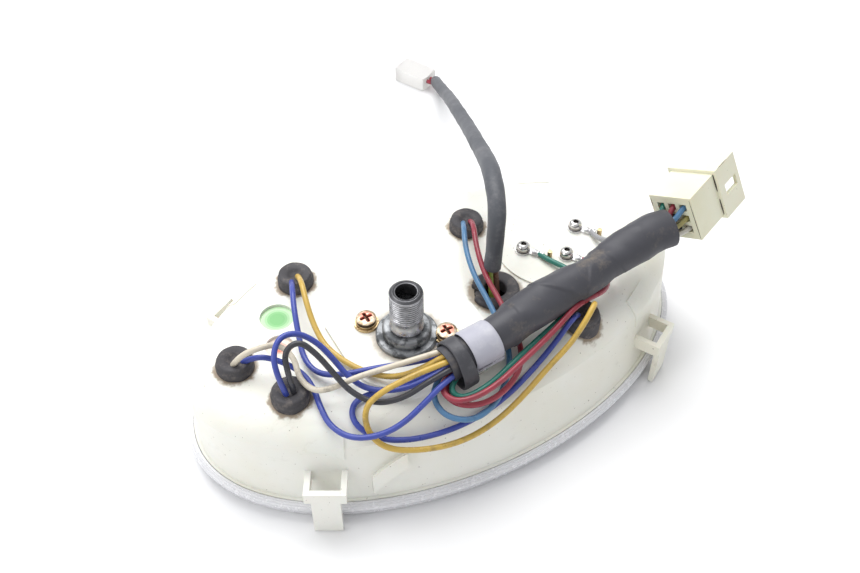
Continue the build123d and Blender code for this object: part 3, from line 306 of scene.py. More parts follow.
def stub_metal():
    """Plated stub: smooth and bright low down, its thread packed with black grease higher up."""
    g = Graph("threaded stub")
    g.set(Metallic=0.9)
    level = g.ramp(g.place("Z"), 0.0525, 0.0545, 0, 1)
    speck = g.ramp(g.noise(420, 5, 0.75), 0.47, 0.60, 0, 0.8)
    tint = g.mix(g.ramp(g.noise(300, 3), 0.4, 0.7), (0.66, 0.66, 0.68), (0.45, 0.45, 0.46))
    groove = g.ramp(g.far_from(*FITTING), 0.00555, 0.00585, 0.85, 0)
    dark = g.math("MAXIMUM", g.math("MULTIPLY", speck, 0.45), groove)
    g.colour(g.mix(g.math("MULTIPLY", level, dark), tint, (0.03, 0.03, 0.035)))
    g.roughness(g.ramp(g.noise(350, 4), 0.35, 0.65, 0.22, 0.5))
    g.bump(g.noise(1500, 2), 0.2, 0.0001)
    return g.material


def painted_screw():
    """Yellow-plated screw head with red paint left in and round its recess."""
    g = Graph("screw head")
    g.set(Metallic=0.85)
    plain = g.mix(g.ramp(g.noise(500, 4), 0.4, 0.65), (0.70, 0.60, 0.46), (0.38, 0.27, 0.17))
    near = g.math("MINIMUM", g.far_from(-31.6, -2.9), g.far_from(-9.9, -22.2))
    paint = g.math("MULTIPLY", g.ramp(near, 0.0021, 0.0029, 1, 0), g.ramp(g.noise(900, 2), 0.36, 0.46, 0, 0.85))
    tint = g.mix(paint, plain, (0.72, 0.22, 0.17))
    level = g.math("SUBTRACT", g.place("Z"), g.ramp(g.place("X"), -0.021, -0.020, 0, 0.0008))
    g.colour(g.mix(g.ramp(level, 0.0448, 0.0454, 0.9, 0), tint, (0.07, 0.045, 0.03)))
    g.roughness(g.ramp(g.noise(600, 3), 0.3, 0.7, 0.28, 0.5))
    return g.material


GAUGE_SCREWS = [(36.6, 1.2), (60.6, 1.6), (49.1, -9.3)]


def nut_metal():
    """Bright domed nut with a black pit on top and dirt in its groove."""
    g = Graph("domed nut")
    g.set(Metallic=1.0)
    spots = [g.far_from(x, y) for x, y in GAUGE_SCREWS]
    near = g.math("MINIMUM", g.math("MINIMUM", spots[0], spots[1]), spots[2])
    low = g.ramp(g.place("Z"), 0.0434, 0.0443, 0.85, 0)
    tint = g.mix(g.ramp(near, 0.0009, 0.0013, 0.95, 0), (0.72, 0.71, 0.69), (0.04, 0.035, 0.03))
    g.colour(g.mix(low, tint, (0.16, 0.14, 0.13)))
    g.roughness(g.ramp(g.noise(500, 3), 0.35, 0.65, 0.14, 0.32))
    return g.material


nut_finish = nut_metal()
stub_finish = stub_metal()
screw_finish = painted_screw()
magnet_iron = metal("magnet", (0.14, 0.14, 0.15), (0.08, 0.08, 0.08), (0.5, 0.7))
thin_aluminium = metal("thin aluminium", (0.80, 0.80, 0.80), (0.6, 0.6, 0.6), (0.2, 0.4))


# %% Rubber, wire covering and the rest
def soft_black(name, tint, dusty, rough=(0.55, 0.85), scale=300, share=(0.45, 0.75)):
    """Rubber or vinyl with dust in patches."""
    g = Graph(name)
    g.set(Specular_IOR_Level=0.35)
    g.colour(g.mix(g.ramp(g.noise(scale, 5, 0.7), *share), tint, dusty))
    g.roughness(g.ramp(g.noise(scale * 0.5, 3), 0.3, 0.7, *rough))
    g.bump(g.noise(scale * 4, 3), 0.25, 0.0003)
    return g.material


def wire_covering(name, tint, dirt=0.35):
    """Glossy vinyl over a wire, with brown smears that follow its length."""
    g = Graph(name)
    g.set(Roughness=0.32, Specular_IOR_Level=0.5, Coat_Weight=0.15, Coat_Roughness=0.25)
    smear = g.ramp(g.noise(160, 5, 0.7), 0.5, 0.72, 0, dirt)
    g.colour(g.mix(smear, tint, tuple(0.35 * c + 0.03 for c in tint)))
    g.roughness(g.ramp(g.noise(300, 3), 0.3, 0.7, 0.24, 0.5))
    g.bump(g.noise(900, 2), 0.08, 0.0002)
    return g.material


def clear_plastic(name, tint, rough=0.08, index=1.49, see_through=1.0):
    """See-through or milky plastic with light scuffs; see_through is how much light goes in."""
    g = Graph(name)
    g.set(Base_Color=(*tint, 1), Transmission_Weight=see_through, IOR=index)
    g.roughness(g.ramp(g.noise(400, 4), 0.45, 0.75, rough, rough + 0.18))
    return g.material


rubber = soft_black("dusty rubber", (0.062, 0.059, 0.064), (0.17, 0.15, 0.14))
black_plastic = soft_black("matt black plastic", (0.02, 0.02, 0.02), (0.04, 0.04, 0.04), (0.5, 0.6))
sleeve_finish = soft_black("vinyl sleeve", (0.060, 0.060, 0.070), (0.17, 0.145, 0.12), (0.42, 0.66), 90,
                           (0.52, 0.78))
lead_finish = soft_black("grey sleeve", (0.085, 0.090, 0.102), (0.16, 0.16, 0.17), (0.45, 0.65), 120)
band_finish = soft_black("smooth rubber", (0.060, 0.060, 0.068), (0.11, 0.11, 0.12), (0.4, 0.55), 150)
clamp_finish = soft_black("grey clamp", (0.42, 0.42, 0.48), (0.50, 0.50, 0.54), (0.3, 0.5), 140)
clamp_dark = soft_black("clamp fold", (0.16, 0.15, 0.17), (0.45, 0.44, 0.50), (0.4, 0.6), 700, (0.5, 0.6))
lens_finish = clear_plastic("clear lens", (0.95, 0.96, 0.96))
skirt_finish = clear_plastic("frosted skirt", (0.80, 0.80, 0.825), 0.2, see_through=0.12)
seal_finish = soft_black("grey seal", (0.55, 0.55, 0.58), (0.68, 0.68, 0.70), (0.4, 0.6))
nylon_finish = clear_plastic("milky nylon", (0.93, 0.92, 0.90), 0.35, 1.5, 0.6)
tongue_finish = clear_plastic("clamp tongue", (0.86, 0.87, 0.82), 0.22, 1.45, 0.5)
dirt_finish = soft_black("dirt line", (0.05, 0.042, 0.03), (0.10, 0.085, 0.06), (0.7, 0.9), 600)
mark_finish = soft_black("dial marks", (0.80, 0.80, 0.78), (0.70, 0.70, 0.68), (0.4, 0.5), 200)
bulb_finish = clear_plastic("bulb glass", (0.97, 0.96, 0.92), 0.03)


def round_window(name, x, y, core, core_r, rim, rim_r):
    """A coloured lens seen from behind: strong in the middle, paler in rings towards its rim."""
    g = Graph(name)
    g.set(Roughness=0.2, Specular_IOR_Level=0.5)
    away = g.far_from(x, y)
    ring = g.math("ADD", away, g.math("MULTIPLY", g.math("SINE", g.math("MULTIPLY", away, 7000.0), 0.0), 0.00025))
    g.colour(g.mix(g.ramp(ring, core_r * MM, rim_r * MM), core, rim))
    return g.material


green_finish = round_window("green window", -57.9, 16.1, (0.10, 0.40, 0.09), 2.4, (0.50, 0.72, 0.44), 6.0)
orange_finish = round_window("orange window", -62.4, 3.3, (0.80, 0.12, 0.04), 1.4, (0.74, 0.62, 0.52), 3.0)
needle_finish = wire_covering("needle paint", (0.80, 0.14, 0.03), 0.1)

WIRE_TINTS = {
    "blue": (0.042, 0.066, 0.34), "yellow": (0.56, 0.37, 0.07), "beige": (0.62, 0.56, 0.45),
    "black": (0.035, 0.035, 0.042), "red": (0.30, 0.03, 0.05), "light_blue": (0.07, 0.185, 0.34),
    "teal": (0.015, 0.165, 0.125), "grey": (0.33, 0.33, 0.34), "brown": (0.16, 0.07, 0.045),
    "green": (0.30, 0.38, 0.06), "olive": (0.33, 0.29, 0.10), "clear": (0.55, 0.53, 0.47)}
DIRT = {"beige": 0.9, "yellow": 0.65, "olive": 0.8, "clear": 0.7}
wire_finish = {key: wire_covering("wire " + key, tint, DIRT.get(key, 0.4)) for key, tint in WIRE_TINTS.items()}
print("materials", len(bpy.data.materials))

# %% Finishes of the CAD nodes
FINISH = {
    "lens": lens_finish, "lens_gasket": seal_finish, "rear_housing": housing_finish,
    "mounting_brackets": bracket_finish, "dial_mask": black_plastic, "dial_plate": black_plastic,
    "green_filter": green_finish, "orange_filter": orange_finish, "fitting_flange": hub_steel,
    "cable_fitting": worn_steel, "speedometer_screws": worn_steel, "speedometer_washers": brass,
    "speedometer_frame": worn_steel, "drive_shaft": worn_steel, "drive_magnet": magnet_iron,
    "speed_cup": thin_aluminium, "speed_spindle": worn_steel, "speed_needle": needle_finish,
    "hairspring": brass, "odometer_cross_shaft": brass, "odometer_axle": worn_steel,
    "odometer_drums": black_plastic, "odometer_gear": connector_finish, "fuel_gauge_body": black_plastic,
    "fuel_spindle": worn_steel, "fuel_needle": needle_finish, "fuel_terminal_screws": worn_steel,
    "ring_terminals": tin_finish, "fuel_gauge_pins": brass, "bulb_sockets": rubber,
    "bulbs": bulb_finish, "lead_grommet": rubber, "harness_sleeve": sleeve_finish,
    "side_lead": sleeve_finish, "harness_clamp": clamp_finish, "clamp_band": rubber,
    "main_connector": connector_finish, "connector_terminals": brass,
    "connector_wires": wire_finish["brown"], "side_connector": nylon_finish,
    "side_connector_wires": wire_finish["red"], "lead_wire_green": wire_finish["green"],
    "lead_wire_brown": wire_finish["brown"]}
for name, finish in FINISH.items():
    nodes[name].data.materials.clear()
    nodes[name].data.materials.append(finish)
print("finished nodes", len(FINISH))

# %% [markdown]
# ## Loose wires
# Thirteen vinyl-covered wires run from the bulb sockets and the fuel gauge into the harness sleeve. Each is
# a fixed length of stiff little cord, so it is a NURBS curve with a round bevel: the curve glides past its
# control points, which is how such a wire bends, and the bevel gives it the wire's real thickness.

# %% Wire routes in millimetres: tint, length, points from one end to the other
WIRE = 2.05
WIRES = {
    "blue_top_left": ("blue", 90.2, [
        (-47.5, 25.5, 45.2), (-50, 18, 51.5), (-53.6, 8.5, 50), (-56, 0, 46), (-58, -8, 43.2),
        (-56.5, -16.5, 43.6), (-49.5, -22.3, 45.6), (-40, -25.8, 47.2), (-29, -31, 49),
        (-18, -36.1, 51.9)]),
    "yellow_top_left": ("yellow", 86.4, [
        (-44.5, 27, 45.2), (-45.8, 20, 51), (-48, 11.5, 50), (-49.3, 3, 46), (-49.2, -5.5, 43.3),
        (-46.8, -14, 43), (-42, -23, 43.1), (-35.5, -31.5, 45.3), (-27, -36.2, 50.5), (-18, -38, 55)]),
    "beige": ("beige", 87.8, [
        (-80.3, 0, 45.2), (-78, -3, 52), (-71.5, -5, 54.5), (-65, -4.5, 52), (-61.8, -10, 49),
        (-63.8, -18, 47.5), (-61.5, -25, 47.2), (-56, -27.5, 48.3), (-48, -28.5, 50.2), (-39, -31, 52),
        (-28.5, -34, 54), (-18, -35.4, 54.1)]),
    "blue_left": ("blue", 95.3, [
        (-77, -0.5, 45.2), (-73, -4, 50), (-66.5, -7.5, 47.5), (-61.2, -13.5, 44.8), (-60.2, -21, 43.8),
        (-61.5, -29, 43.2), (-61.5, -36, 41.3), (-57.5, -42.8, 40.2), (-50, -47.3, 41.6),
        (-41.5, -48.5, 43.8), (-32, -46.8, 47.5), (-24.5, -44.8, 50.4), (-18, -43.1, 50.3)]),
    "blue_arch": ("blue", 87.7, [
        (-69.6, -20.3, 45.2), (-71, -18.5, 53), (-70, -13.5, 59), (-65.5, -9.5, 61.5), (-59.5, -10, 60.5),
        (-54.5, -13.5, 56.5), (-51.5, -19, 52), (-49.5, -25, 48), (-45.5, -31.5, 45.5),
        (-37.5, -36.8, 45.8), (-28, -39.8, 48.5), (-18, -40.3, 51.7)]),
    "black_arch": ("black", 82.6, [
        (-67, -20.5, 45.2), (-67.6, -19.3, 53.5), (-66.6, -14.8, 60), (-60.8, -14.4, 62), (-57, -19.8, 58),
        (-54.5, -25.5, 53.5), (-51.8, -32.7, 49.4), (-46, -39, 46.8), (-37.5, -42.5, 48.5),
        (-28, -42.8, 52.3), (-18, -42.3, 52.9)]),
    "yellow_near": ("yellow", 153.6, [
        (-18, -40.2, 54.1), (-27, -40.3, 55), (-36, -39.6, 53.8), (-44, -38.8, 51.5), (-50.3, -39.3, 48),
        (-51.8, -43.5, 40.8), (-48, -49.2, 35.4), (-37.5, -53.8, 33), (-24, -56.5, 31.5),
        (-10.5, -56, 32.5), (2.5, -53, 35.5), (15, -49, 39.5), (25, -47.2, 44.5), (30.5, -46.4, 51.8),
        (36.2, -43.4, 55), (39, -40.4, 51.2), (37.9, -39.4, 45.2)]),
    "blue_near": ("blue", 141.6, [
        (-18, -38.3, 50), (-27, -37.3, 47.8), (-36, -34.5, 44.3), (-45.5, -31.5, 43), (-51.5, -32.5, 42.8),
        (-54, -37, 41), (-51.8, -42.3, 38.3), (-44.8, -47, 34.8), (-33, -51, 34), (-18, -52.5, 34),
        (-3, -51, 36.5), (11, -47, 40), (21.5, -43.5, 43.8), (30.3, -41.2, 50.8), (34.3, -38, 45.2)]),
    "red_top": ("red", 115.5, [
        (25.3, 21.5, 45.2), (22.3, 14.5, 52), (17, 3.5, 51.5), (13.8, -8, 48.8), (13.5, -20, 45.5),
        (12, -31, 43.5), (9.5, -41, 43), (3, -48.5, 42.6), (-6, -52.6, 42.2), (-15, -53.4, 42.6),
        (-22, -50, 43.6), (-23.6, -44, 44.4), (-18, -40.5, 46.4)]),
    "light_blue_top": ("light_blue", 125.5, [
        (22.5, 22, 45.2), (18.8, 15.5, 51.5), (13.3, 5, 51), (10.3, -6.5, 48.5), (9.8, -18.5, 45.5),
        (8, -30, 43.5), (5, -40.5, 42.9), (-1.5, -48, 39.8), (-9.5, -53.8, 39.4), (-18.5, -56, 39.8),
        (-26, -52, 41.2), (-28, -45.5, 43.2), (-24.5, -39.5, 45.3), (-18, -37.7, 46.9)]),
    "teal": ("teal", 104.1, [
        (-18, -42.9, 47.6), (-21.5, -44.8, 47), (-21.3, -48.1, 45.4), (-17.5, -50, 45), (-9, -49.3, 45.3),
        (1, -46, 45.6), (12, -42.5, 46.6), (23, -39.6, 48), (31, -37, 48.6), (38, -35.3, 48.2),
        (43.5, -32, 46.8), (46, -25, 45.4), (44, -15.5, 44.2), (41, -8, 43.3), (40.3, -4.1, 42.9)]),
    "red_gauge": ("red", 111.8, [
        (-18, -40.6, 49.1), (-22.6, -42, 48.4), (-25, -46, 47), (-22.5, -50.6, 46.3), (-16, -52.5, 46.8),
        (-7, -51.5, 47.2), (2.5, -48.4, 47.6), (13, -45.2, 48.6), (23.5, -42, 50.5), (31, -39.3, 52.3),
        (38.5, -37.8, 51.8), (45, -36.8, 50.5), (50.5, -33, 48), (54.5, -26.5, 46), (55.5, -19.5, 44.2),
        (52.8, -14.6, 42.9)]),
    "grey_gauge": ("grey", 24.5, [
        (64.3, -3.7, 42.9), (63.4, -8.6, 44), (64.1, -14.5, 47.2), (65, -20, 51.5), (65.3, -24.5, 55)]),
}


# %% Draw the wires
def smooth_line(name, points, thickness=0.0):
    """A NURBS curve of order 3 with the points (mm) as its controls; thickness (mm) is its round outside."""
    curve = bpy.data.curves.new(name, "CURVE")
    curve.dimensions = "3D"
    spline = curve.splines.new("NURBS")
    spline.points.add(len(points) - 1)
    spline.points.foreach_set("co", np.c_[np.array(points) * MM, np.ones(len(points))].ravel())
    spline.order_u = 3
    spline.use_endpoint_u = True
    curve.resolution_u = 10
    if thickness:
        curve.bevel_depth = thickness / 2 * MM
        curve.bevel_resolution = 4
        curve.use_fill_caps = True
    obj = bpy.data.objects.new(name, curve)
    bpy.context.scene.collection.objects.link(obj)
    return obj


def line_points(name, points):
    """The smooth line's own points in millimetres, read from the curve with no bevel."""
    guide = smooth_line(name + "_guide", points)
    guide.data.resolution_u = 16
    bpy.context.view_layer.update()
    mesh = bpy.data.meshes.new_from_object(guide)
    found = np.empty(len(mesh.vertices) * 3)
    mesh.vertices.foreach_get("co", found)
    bpy.data.objects.remove(guide)
    bpy.data.meshes.remove(mesh)
    return found.reshape(-1, 3) / MM


for name, (tint, length, points) in WIRES.items():
    wire = smooth_line("loose_wire_" + name, points, WIRE)
    wire.data.materials.append(wire_finish[tint])
    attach(wire, "cluster")
    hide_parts("wire_" + name)
print("wires", len(WIRES))

# %% [markdown]
# ## Harness sleeve
# A vinyl sleeve is pulled over the wires and wrapped by hand, so it is lumpy: it swells and narrows, and its
# overlapping edge stands up in slanted folds. A beveled curve would be too even, so this tube is a grid round
# the smooth line, and its radius is a formula of the way along and the angle.


# %% Lines to follow
def evenly(points, count):
    """The same line at even steps, with its distances from the start."""
    steps = np.r_[0, np.cumsum(np.linalg.norm(np.diff(points, axis=0), axis=1))]
    at = np.linspace(0, steps[-1], count)
    return np.stack([np.interp(at, steps, points[:, k]) for k in range(3)], axis=-1), at


def tube_round(path, radius, mouth_start=0.0, mouth_end=0.0, depth=2.0, wall=0.9):
    """A tube along a path: radius is (path points, angles). Each end has a hollow mouth beyond it."""
    ahead, side, lift = ways(path)
    angle = np.linspace(0, 2 * np.pi, radius.shape[1], endpoint=False)
    ring = side[:, None] * np.cos(angle)[:, None] + lift[:, None] * np.sin(angle)[:, None]
    grid = path[:, None] + ring * radius[..., None]

    def mouth(end, out):
        way = -ahead[0] if end == 0 else ahead[-1]
        rim = grid[end] + way * out
        inner = path[end] + ring[end] * (radius[end] - wall)[:, None]
        floor = np.repeat((path[end] - way * depth * 0.2)[None], len(angle), axis=0)
        deep = inner - way * depth * 0.2
        return [rim, inner + way * (out - 0.1), deep, floor]

    first = np.stack(mouth(0, mouth_start)[::-1])
    last = np.stack(mouth(-1, mouth_end))
    grid = np.concatenate([first, grid, last])
    return grid, grid_faces(len(grid), len(angle))


# %% Sleeve
SLEEVE = [(-18, -38.3, 50.5), (1, -36.8, 52), (20, -32.8, 54), (40, -30.6, 56), (60, -27.6, 58.5),
          (77.5, -28.4, 59.2)]
sleeve_path, sleeve_at = evenly(line_points("harness_sleeve", SLEEVE), 260)
turn = np.linspace(0, 2 * np.pi, 96, endpoint=False)[None]
s = sleeve_at[:, None]
swell = np.interp(s, [0, 6, 18, 26, 36, 45, 54, 62, 68, 76, 84, 92, 97],
                  [6.3, 6.3, 6.3, 6.8, 7.35, 7.1, 6.7, 6.2, 5.9, 6.6, 7.4, 7.45, 7.2])


def fold(place, lean, heading, height, soft=0.7):
    """An overlapping edge round the sleeve: up by height at once, and down again slowly over 9 mm."""
    away = s - place - lean * np.sin(turn - heading)
    return height / (1 + np.exp(-away / soft * 4)) * np.exp(-np.clip(away, 0, None) / 9)


lumps = sum(a * np.sin(s / w + k * turn + p) for a, w, k, p in
            ((0.16, 5.2, 2, 0.4), (0.13, 3.1, 3, 2.1), (0.09, 2.0, 1, 4.0), (0.08, 7.5, 4, 1.2),
             (0.05, 1.3, 5, 5.1)))
sleeve_radius = (swell + fold(25, 3, 0.3, 0.45) + fold(46, 7, 4.1, 0.5) + fold(60, 6, 1.2, 0.55)
                 + fold(72, 4, 3.0, 0.35) + lumps * np.clip(s - 16, 0, 8) / 8)
droop = np.interp(s, [30, 48, 66, 80, 90], [0, 0.7, 1.6, 0.8, 0]) * np.cos(turn - math.radians(315))
sleeve_radius = np.minimum(sleeve_radius + droop, 7.95)
sleeve = put("vinyl_sleeve", [tube_round(sleeve_path, sleeve_radius, 2.2, 0.6, 3.0)], sleeve_finish,
             stands_for=["harness_sleeve"], sharp=60)
print("sleeve", round(sleeve_at[-1], 1), "mm long")

# %% [markdown]
# ## Side lead
# The thin lead leaves through the torn rubber grommet, stands up, and leans over to the table with a small
# connector at its end. It is the same kind of tube, in a smoother grey sleeve.

# %% Side lead
LEAD = [(17.9, -6.6, 50), (18.9, -6, 62), (20.6, -3.7, 72), (25, 5.5, 76.5), (31.5, 20.5, 73), (38.2, 37.1, 65),
        (48.5, 61.8, 53), (59.5, 88.8, 39), (70.5, 116, 25), (79.3, 139.2, 12), (84.6, 153.9, 5)]
lead_path, lead_at = evenly(line_points("side_lead", LEAD), 220)
s = lead_at[:, None]
turn = np.linspace(0, 2 * np.pi, 40, endpoint=False)[None]
flat = 0.12 * np.exp(-((s - 40) / 26) ** 2) * np.cos(2 * turn)
lead_radius = np.interp(s, [0, 6, 40, 70, 130, 200], [3.2, 3.1, 3.3, 3.1, 2.95, 2.85]) + flat
lead_radius = lead_radius + 0.05 * np.sin(s / 3.3 + turn) + 0.04 * np.sin(s / 1.7 + 2 * turn + 1)
lead = put("grey_side_lead", [tube_round(lead_path, lead_radius, 0.6, 0.5, 2.0, 0.5)], lead_finish,
           stands_for=["side_lead"], sharp=60)
print("side lead", round(lead_at[-1], 1), "mm long")

# %% [markdown]
# ## Clear lens
# The lens is one moulding: a flat window with a skirt round it. The skirt is stepped, and from behind it
# shows as pale lines round the housing. Both are ovals whose half lengths change along a profile, so one
# function carries a profile of (inset, height) pairs round the oval.

# %% Oval profiles
RIM_A, RIM_B = 101.0, 60.5


def round_oval(profile, steps=240, close=False):
    """Rows of ovals: half lengths are the rim's less an inset, and a share below 1 shrinks both to the middle."""
    profile = np.asarray(profile, float)
    angle = np.linspace(0, 2 * np.pi, steps, endpoint=False)
    share = profile[:, 2:3] if profile.shape[1] > 2 else 1.0
    x = (RIM_A - profile[:, 0:1]) * share * np.cos(angle)
    y = (RIM_B - profile[:, 0:1]) * share * np.sin(angle)
    z = np.repeat(profile[:, 1:2], steps, axis=1)
    return np.stack([x, y, z], axis=-1), grid_faces(len(profile), steps, close_rows=close)


SPLIT = 7.0
window_profile = [(SPLIT, 2.35, 0), (SPLIT, 2.35, 0.5), (SPLIT, 2.35, 0.9), (SPLIT, 2.35, 1), (SPLIT, 0.0, 1),
                  (SPLIT, 0.0, 0.9), (SPLIT, 0.0, 0.5), (SPLIT, 0.0, 0)]
put("lens_window", [round_oval(window_profile)], lens_finish, stands_for=["lens"], sharp=20)
skirt_profile = [(SPLIT, 0.02), (4.4, 0.05), (3.2, 0.25), (2.2, 0.75), (1.5, 1.5), (1.05, 2.4), (0.95, 3.1),
                 (1.25, 3.25), (1.25, 3.55), (0.9, 3.7), (0.85, 4.9), (0.75, 5.15), (0.15, 5.35), (0.0, 5.6),
                 (0.0, 6.9), (0.25, 7.15), (0.55, 7.2), (0.6, 7.6), (0.85, 7.75), (1.35, 7.8), (1.45, 8.15),
                 (2.2, 8.2), (2.4, 7.9), (2.4, 2.6), (2.9, 2.4), (SPLIT, 2.4)]
put("lens_skirt", [round_oval(skirt_profile, close=True)], skirt_finish, stands_for=["lens"],
    sharp=30)
print("rim", 2 * RIM_A, "by", 2 * RIM_B, "mm")

# %% [markdown]
# ## The back's own relief
# Height on the moulded back is a formula: flat in the middle, then a rounded shoulder, then a leaning wall.
# With it a small pad or rib can lie on the curve like a sticker, so each is a thin grid laid on that height.


# %% Height of the moulded back
CREASE_A, CREASE_B, CREASE_Z = 96.8, 51.7, 33     # half lengths and level of the crease
LEAN_A, LEAN_B = 0.6, 5.2                          # how far the wall leans out from crease to foot
SHOULDER_A, SHOULDER_B, SHOULDER_RISE = 11.5, 12.0, 8
WALL_DROP = 24.8                                   # crease to foot
SHOULDER_START = math.radians(32)


def back_height(x, y):
    """Upper surface at x, y: an oval shrinks as it rises, so its share is found by halving, all points at once."""
    low, high = np.full(np.shape(x), -1.0), np.full(np.shape(x), 1.0)
    for _ in range(30):
        mid = (low + high) / 2
        a = CREASE_A - np.where(mid < 0, LEAN_A, SHOULDER_A) * mid
        b = CREASE_B - np.where(mid < 0, LEAN_B, SHOULDER_B) * mid
        inside = (x / a) ** 2 + (y / b) ** 2 < 1
        low, high = np.where(inside, mid, low), np.where(inside, high, mid)
    bottom = math.sin(SHOULDER_START)
    lift = np.sin(np.arccos(np.clip(math.cos(SHOULDER_START) * (1 - np.clip(low, 0, 1)), -1, 1)))
    shoulder = CREASE_Z + SHOULDER_RISE * (lift - bottom) / (1 - bottom)
    return np.where(low < 0, CREASE_Z + WALL_DROP * low, shoulder)


def laid(corner, across, down, thick, push=(0, 0), sink=0.6, count=28):
    """A thin pad on the back: corner plus shares of two level vectors, pushed out sideways and up."""
    share = np.r_[0, np.linspace(0, 1, count), 1]
    u, v = np.meshgrid(share, share, indexing="ij")
    x = corner[0] + u * across[0] + v * down[0]
    y = corner[1] + u * across[1] + v * down[1]
    edge = np.zeros_like(u)
    edge[1:-1, 1:-1] = 1
    top = np.stack([x + edge * push[0], y + edge * push[1],
                    back_height(x, y) + edge * (thick + sink) - sink], axis=-1)
    under = np.stack([x, y, back_height(x, y) - sink], axis=-1)
    quads = grid_faces(*u.shape, close_columns=False)
    return [(top, quads), (under, quads)]


# %% Pads above the brackets, and ribs
pads = []
for heading in (47.2, 132.8, 227.2, 312.8):
    c, w = math.cos(math.radians(heading)), math.sin(math.radians(heading))
    out = unit(np.array((c / RIM_A, w / RIM_B)))
    level = np.array((-out[1], out[0]))
    start = np.array((RIM_A * c, RIM_B * w)) - out * 12.2 - level * 6.4
    pads += laid(start, level * 12.8, out * 5.4, 0.3, out * 0.35)
put("bracket_pads", pads, housing_finish, sharp=25)
put("slanted_rib", laid((-52.5, -46.0), (12.4, -2.1), (-0.25, -1.25), 0.7, (-0.4, -1.9)), bracket_finish,
    sharp=25)

# %% [markdown]
# ## Cable fitting
# The speedometer cable screws onto a threaded stub. A real thread is a groove that climbs as it turns: the
# radius at each point is a triangle wave of the height less the climb, so one grid makes it with no cutting.

# %% Threaded stub and its hub
THREAD_FOOT, THREAD_TOP, THREAD_PITCH, THREAD_DEPTH = 53.2, 63.9, 1.0, 0.5
turn = np.linspace(0, 2 * np.pi, 72, endpoint=False)[None]
low_rows = np.array([(2.05, 29), (4.4, 29), (4.5, 29.4), (4.5, 37.2), (7.0, 37.2), (7.0, 43.9), (5.7, 43.9),
                     (5.7, 47.3), (6.0, 47.6), (6.0, 48.4), (5.75, 48.7), (5.75, 52.9)])
thread_z = np.linspace(THREAD_FOOT, THREAD_TOP, 150)[:, None]
wave = np.abs((thread_z / THREAD_PITCH - turn / (2 * np.pi)) % 1.0 - 0.5) * 2
fade = np.clip((thread_z - THREAD_FOOT) / 1.2, 0, 1) * np.clip((THREAD_TOP - thread_z) / 0.8, 0, 1)
thread_r = 5.95 - THREAD_DEPTH * wave * (0.25 + 0.75 * fade)
top_rows = np.array([(5.35, 64.2), (4.95, 64.65), (4.55, 64.7), (4.4, 64.45), (4.2, 64.4), (4.05, 64.6),
                     (3.75, 64.55), (3.6, 64.2), (3.6, 52.2), (2.05, 52.2)])
radius = np.concatenate([np.repeat(low_rows[:, :1], 72, 1), thread_r, np.repeat(top_rows[:, :1], 72, 1)])
height = np.concatenate([np.repeat(low_rows[:, 1:], 72, 1), np.repeat(thread_z, 72, 1),
                         np.repeat(top_rows[:, 1:], 72, 1)])
stub = np.stack([FITTING[0] + radius * np.cos(turn), FITTING[1] + radius * np.sin(turn), height], axis=-1)
put("threaded_stub", [(stub, grid_faces(len(stub), 72, close_rows=True))], stub_finish,
    stands_for=["cable_fitting"], sharp=50)
hub_profile = [(5.6, 43.8), (8.5, 43.8), (8.6, 44.1), (8.6, 46.6), (8.2, 47.15), (7.6, 47.4), (6.5, 47.3),
               (5.6, 47.2)]
put("fitting_hub", [turned(hub_profile, FITTING, 72, close=True)], hub_steel, stands_for=["cable_fitting"],
    sharp=40)

# %% [markdown]
# ## Screws with a cross recess
# Each screw is one height map: its height is a dome of the distance from the middle, less a cross-shaped pit.
# The pit is soft-edged, as a pressed recess is. A split washer and a coned washer lie under the head.

# %% Speedometer screws
SCREWS = [(-31.6, -2.9, 43.0), (-9.9, -22.2, 43.8)]
SHANK_END = 33.0
heads, rings = [], []
for x, y, seat in SCREWS:
    r = np.r_[0, np.linspace(0.05, 3.35, 44), 3.55, 3.6, 3.6, 3.4, 2.0, 2.0, 0][:, None]
    spin = np.linspace(0, 2 * np.pi, 96, endpoint=False)[None] + x
    a, b = np.abs(r * np.cos(spin)), np.abs(r * np.sin(spin))
    arm = np.minimum(a, b)
    reach = np.maximum(a, b)
    pit = 1.3 / (1 + np.exp((arm - 0.42) / 0.07)) / (1 + np.exp((reach - 2.1) / 0.12))
    tall = np.broadcast_to(seat + 2.75 - 0.45 * (r / 3.4) ** 3 - pit, pit.shape).copy()
    tall[-6:] = np.array([seat + 2.1, seat + 1.7, seat + 1.0, seat + 0.9, SHANK_END, SHANK_END])[:, None]
    heads.append((np.stack([x + r * np.cos(spin), y + r * np.sin(spin), tall], axis=-1), grid_faces(len(r), 96)))
    gap = np.linspace(0.12, 2 * np.pi - 0.12, 60)
    ring = np.array([(2.2, 0.05), (3.75, 0.05), (3.85, 0.3), (3.85, 0.75), (3.7, 0.9), (2.2, 0.9)])
    lean = (gap / (2 * np.pi) - 0.5) * 0.12
    grid = np.stack([x + ring[:, :1] * np.cos(gap + 2), y + ring[:, :1] * np.sin(gap + 2),
                     seat + ring[:, 1:] * 0.9 + 0.06 + lean], axis=-1).transpose(1, 0, 2)
    caps = [np.repeat(g.mean(axis=0)[None, None], 6, axis=1) for g in (grid[0], grid[-1])]
    grid = np.concatenate([caps[0], grid, caps[1]])
    rings.append((grid, grid_faces(len(grid), 6)))
put("cross_recess_screws", heads, screw_finish, stands_for=["speedometer_screws"], sharp=40)
put("split_washers", rings, brass, sharp=30)

# %% [markdown]
# ## Bulb sockets and grommet
# Each bulb sits in a rubber head with two steps and a hollow where the wires go in. The grommet beside them is
# the same kind of turned rubber, but torn: its outer radius drops in a ragged notch on one side.

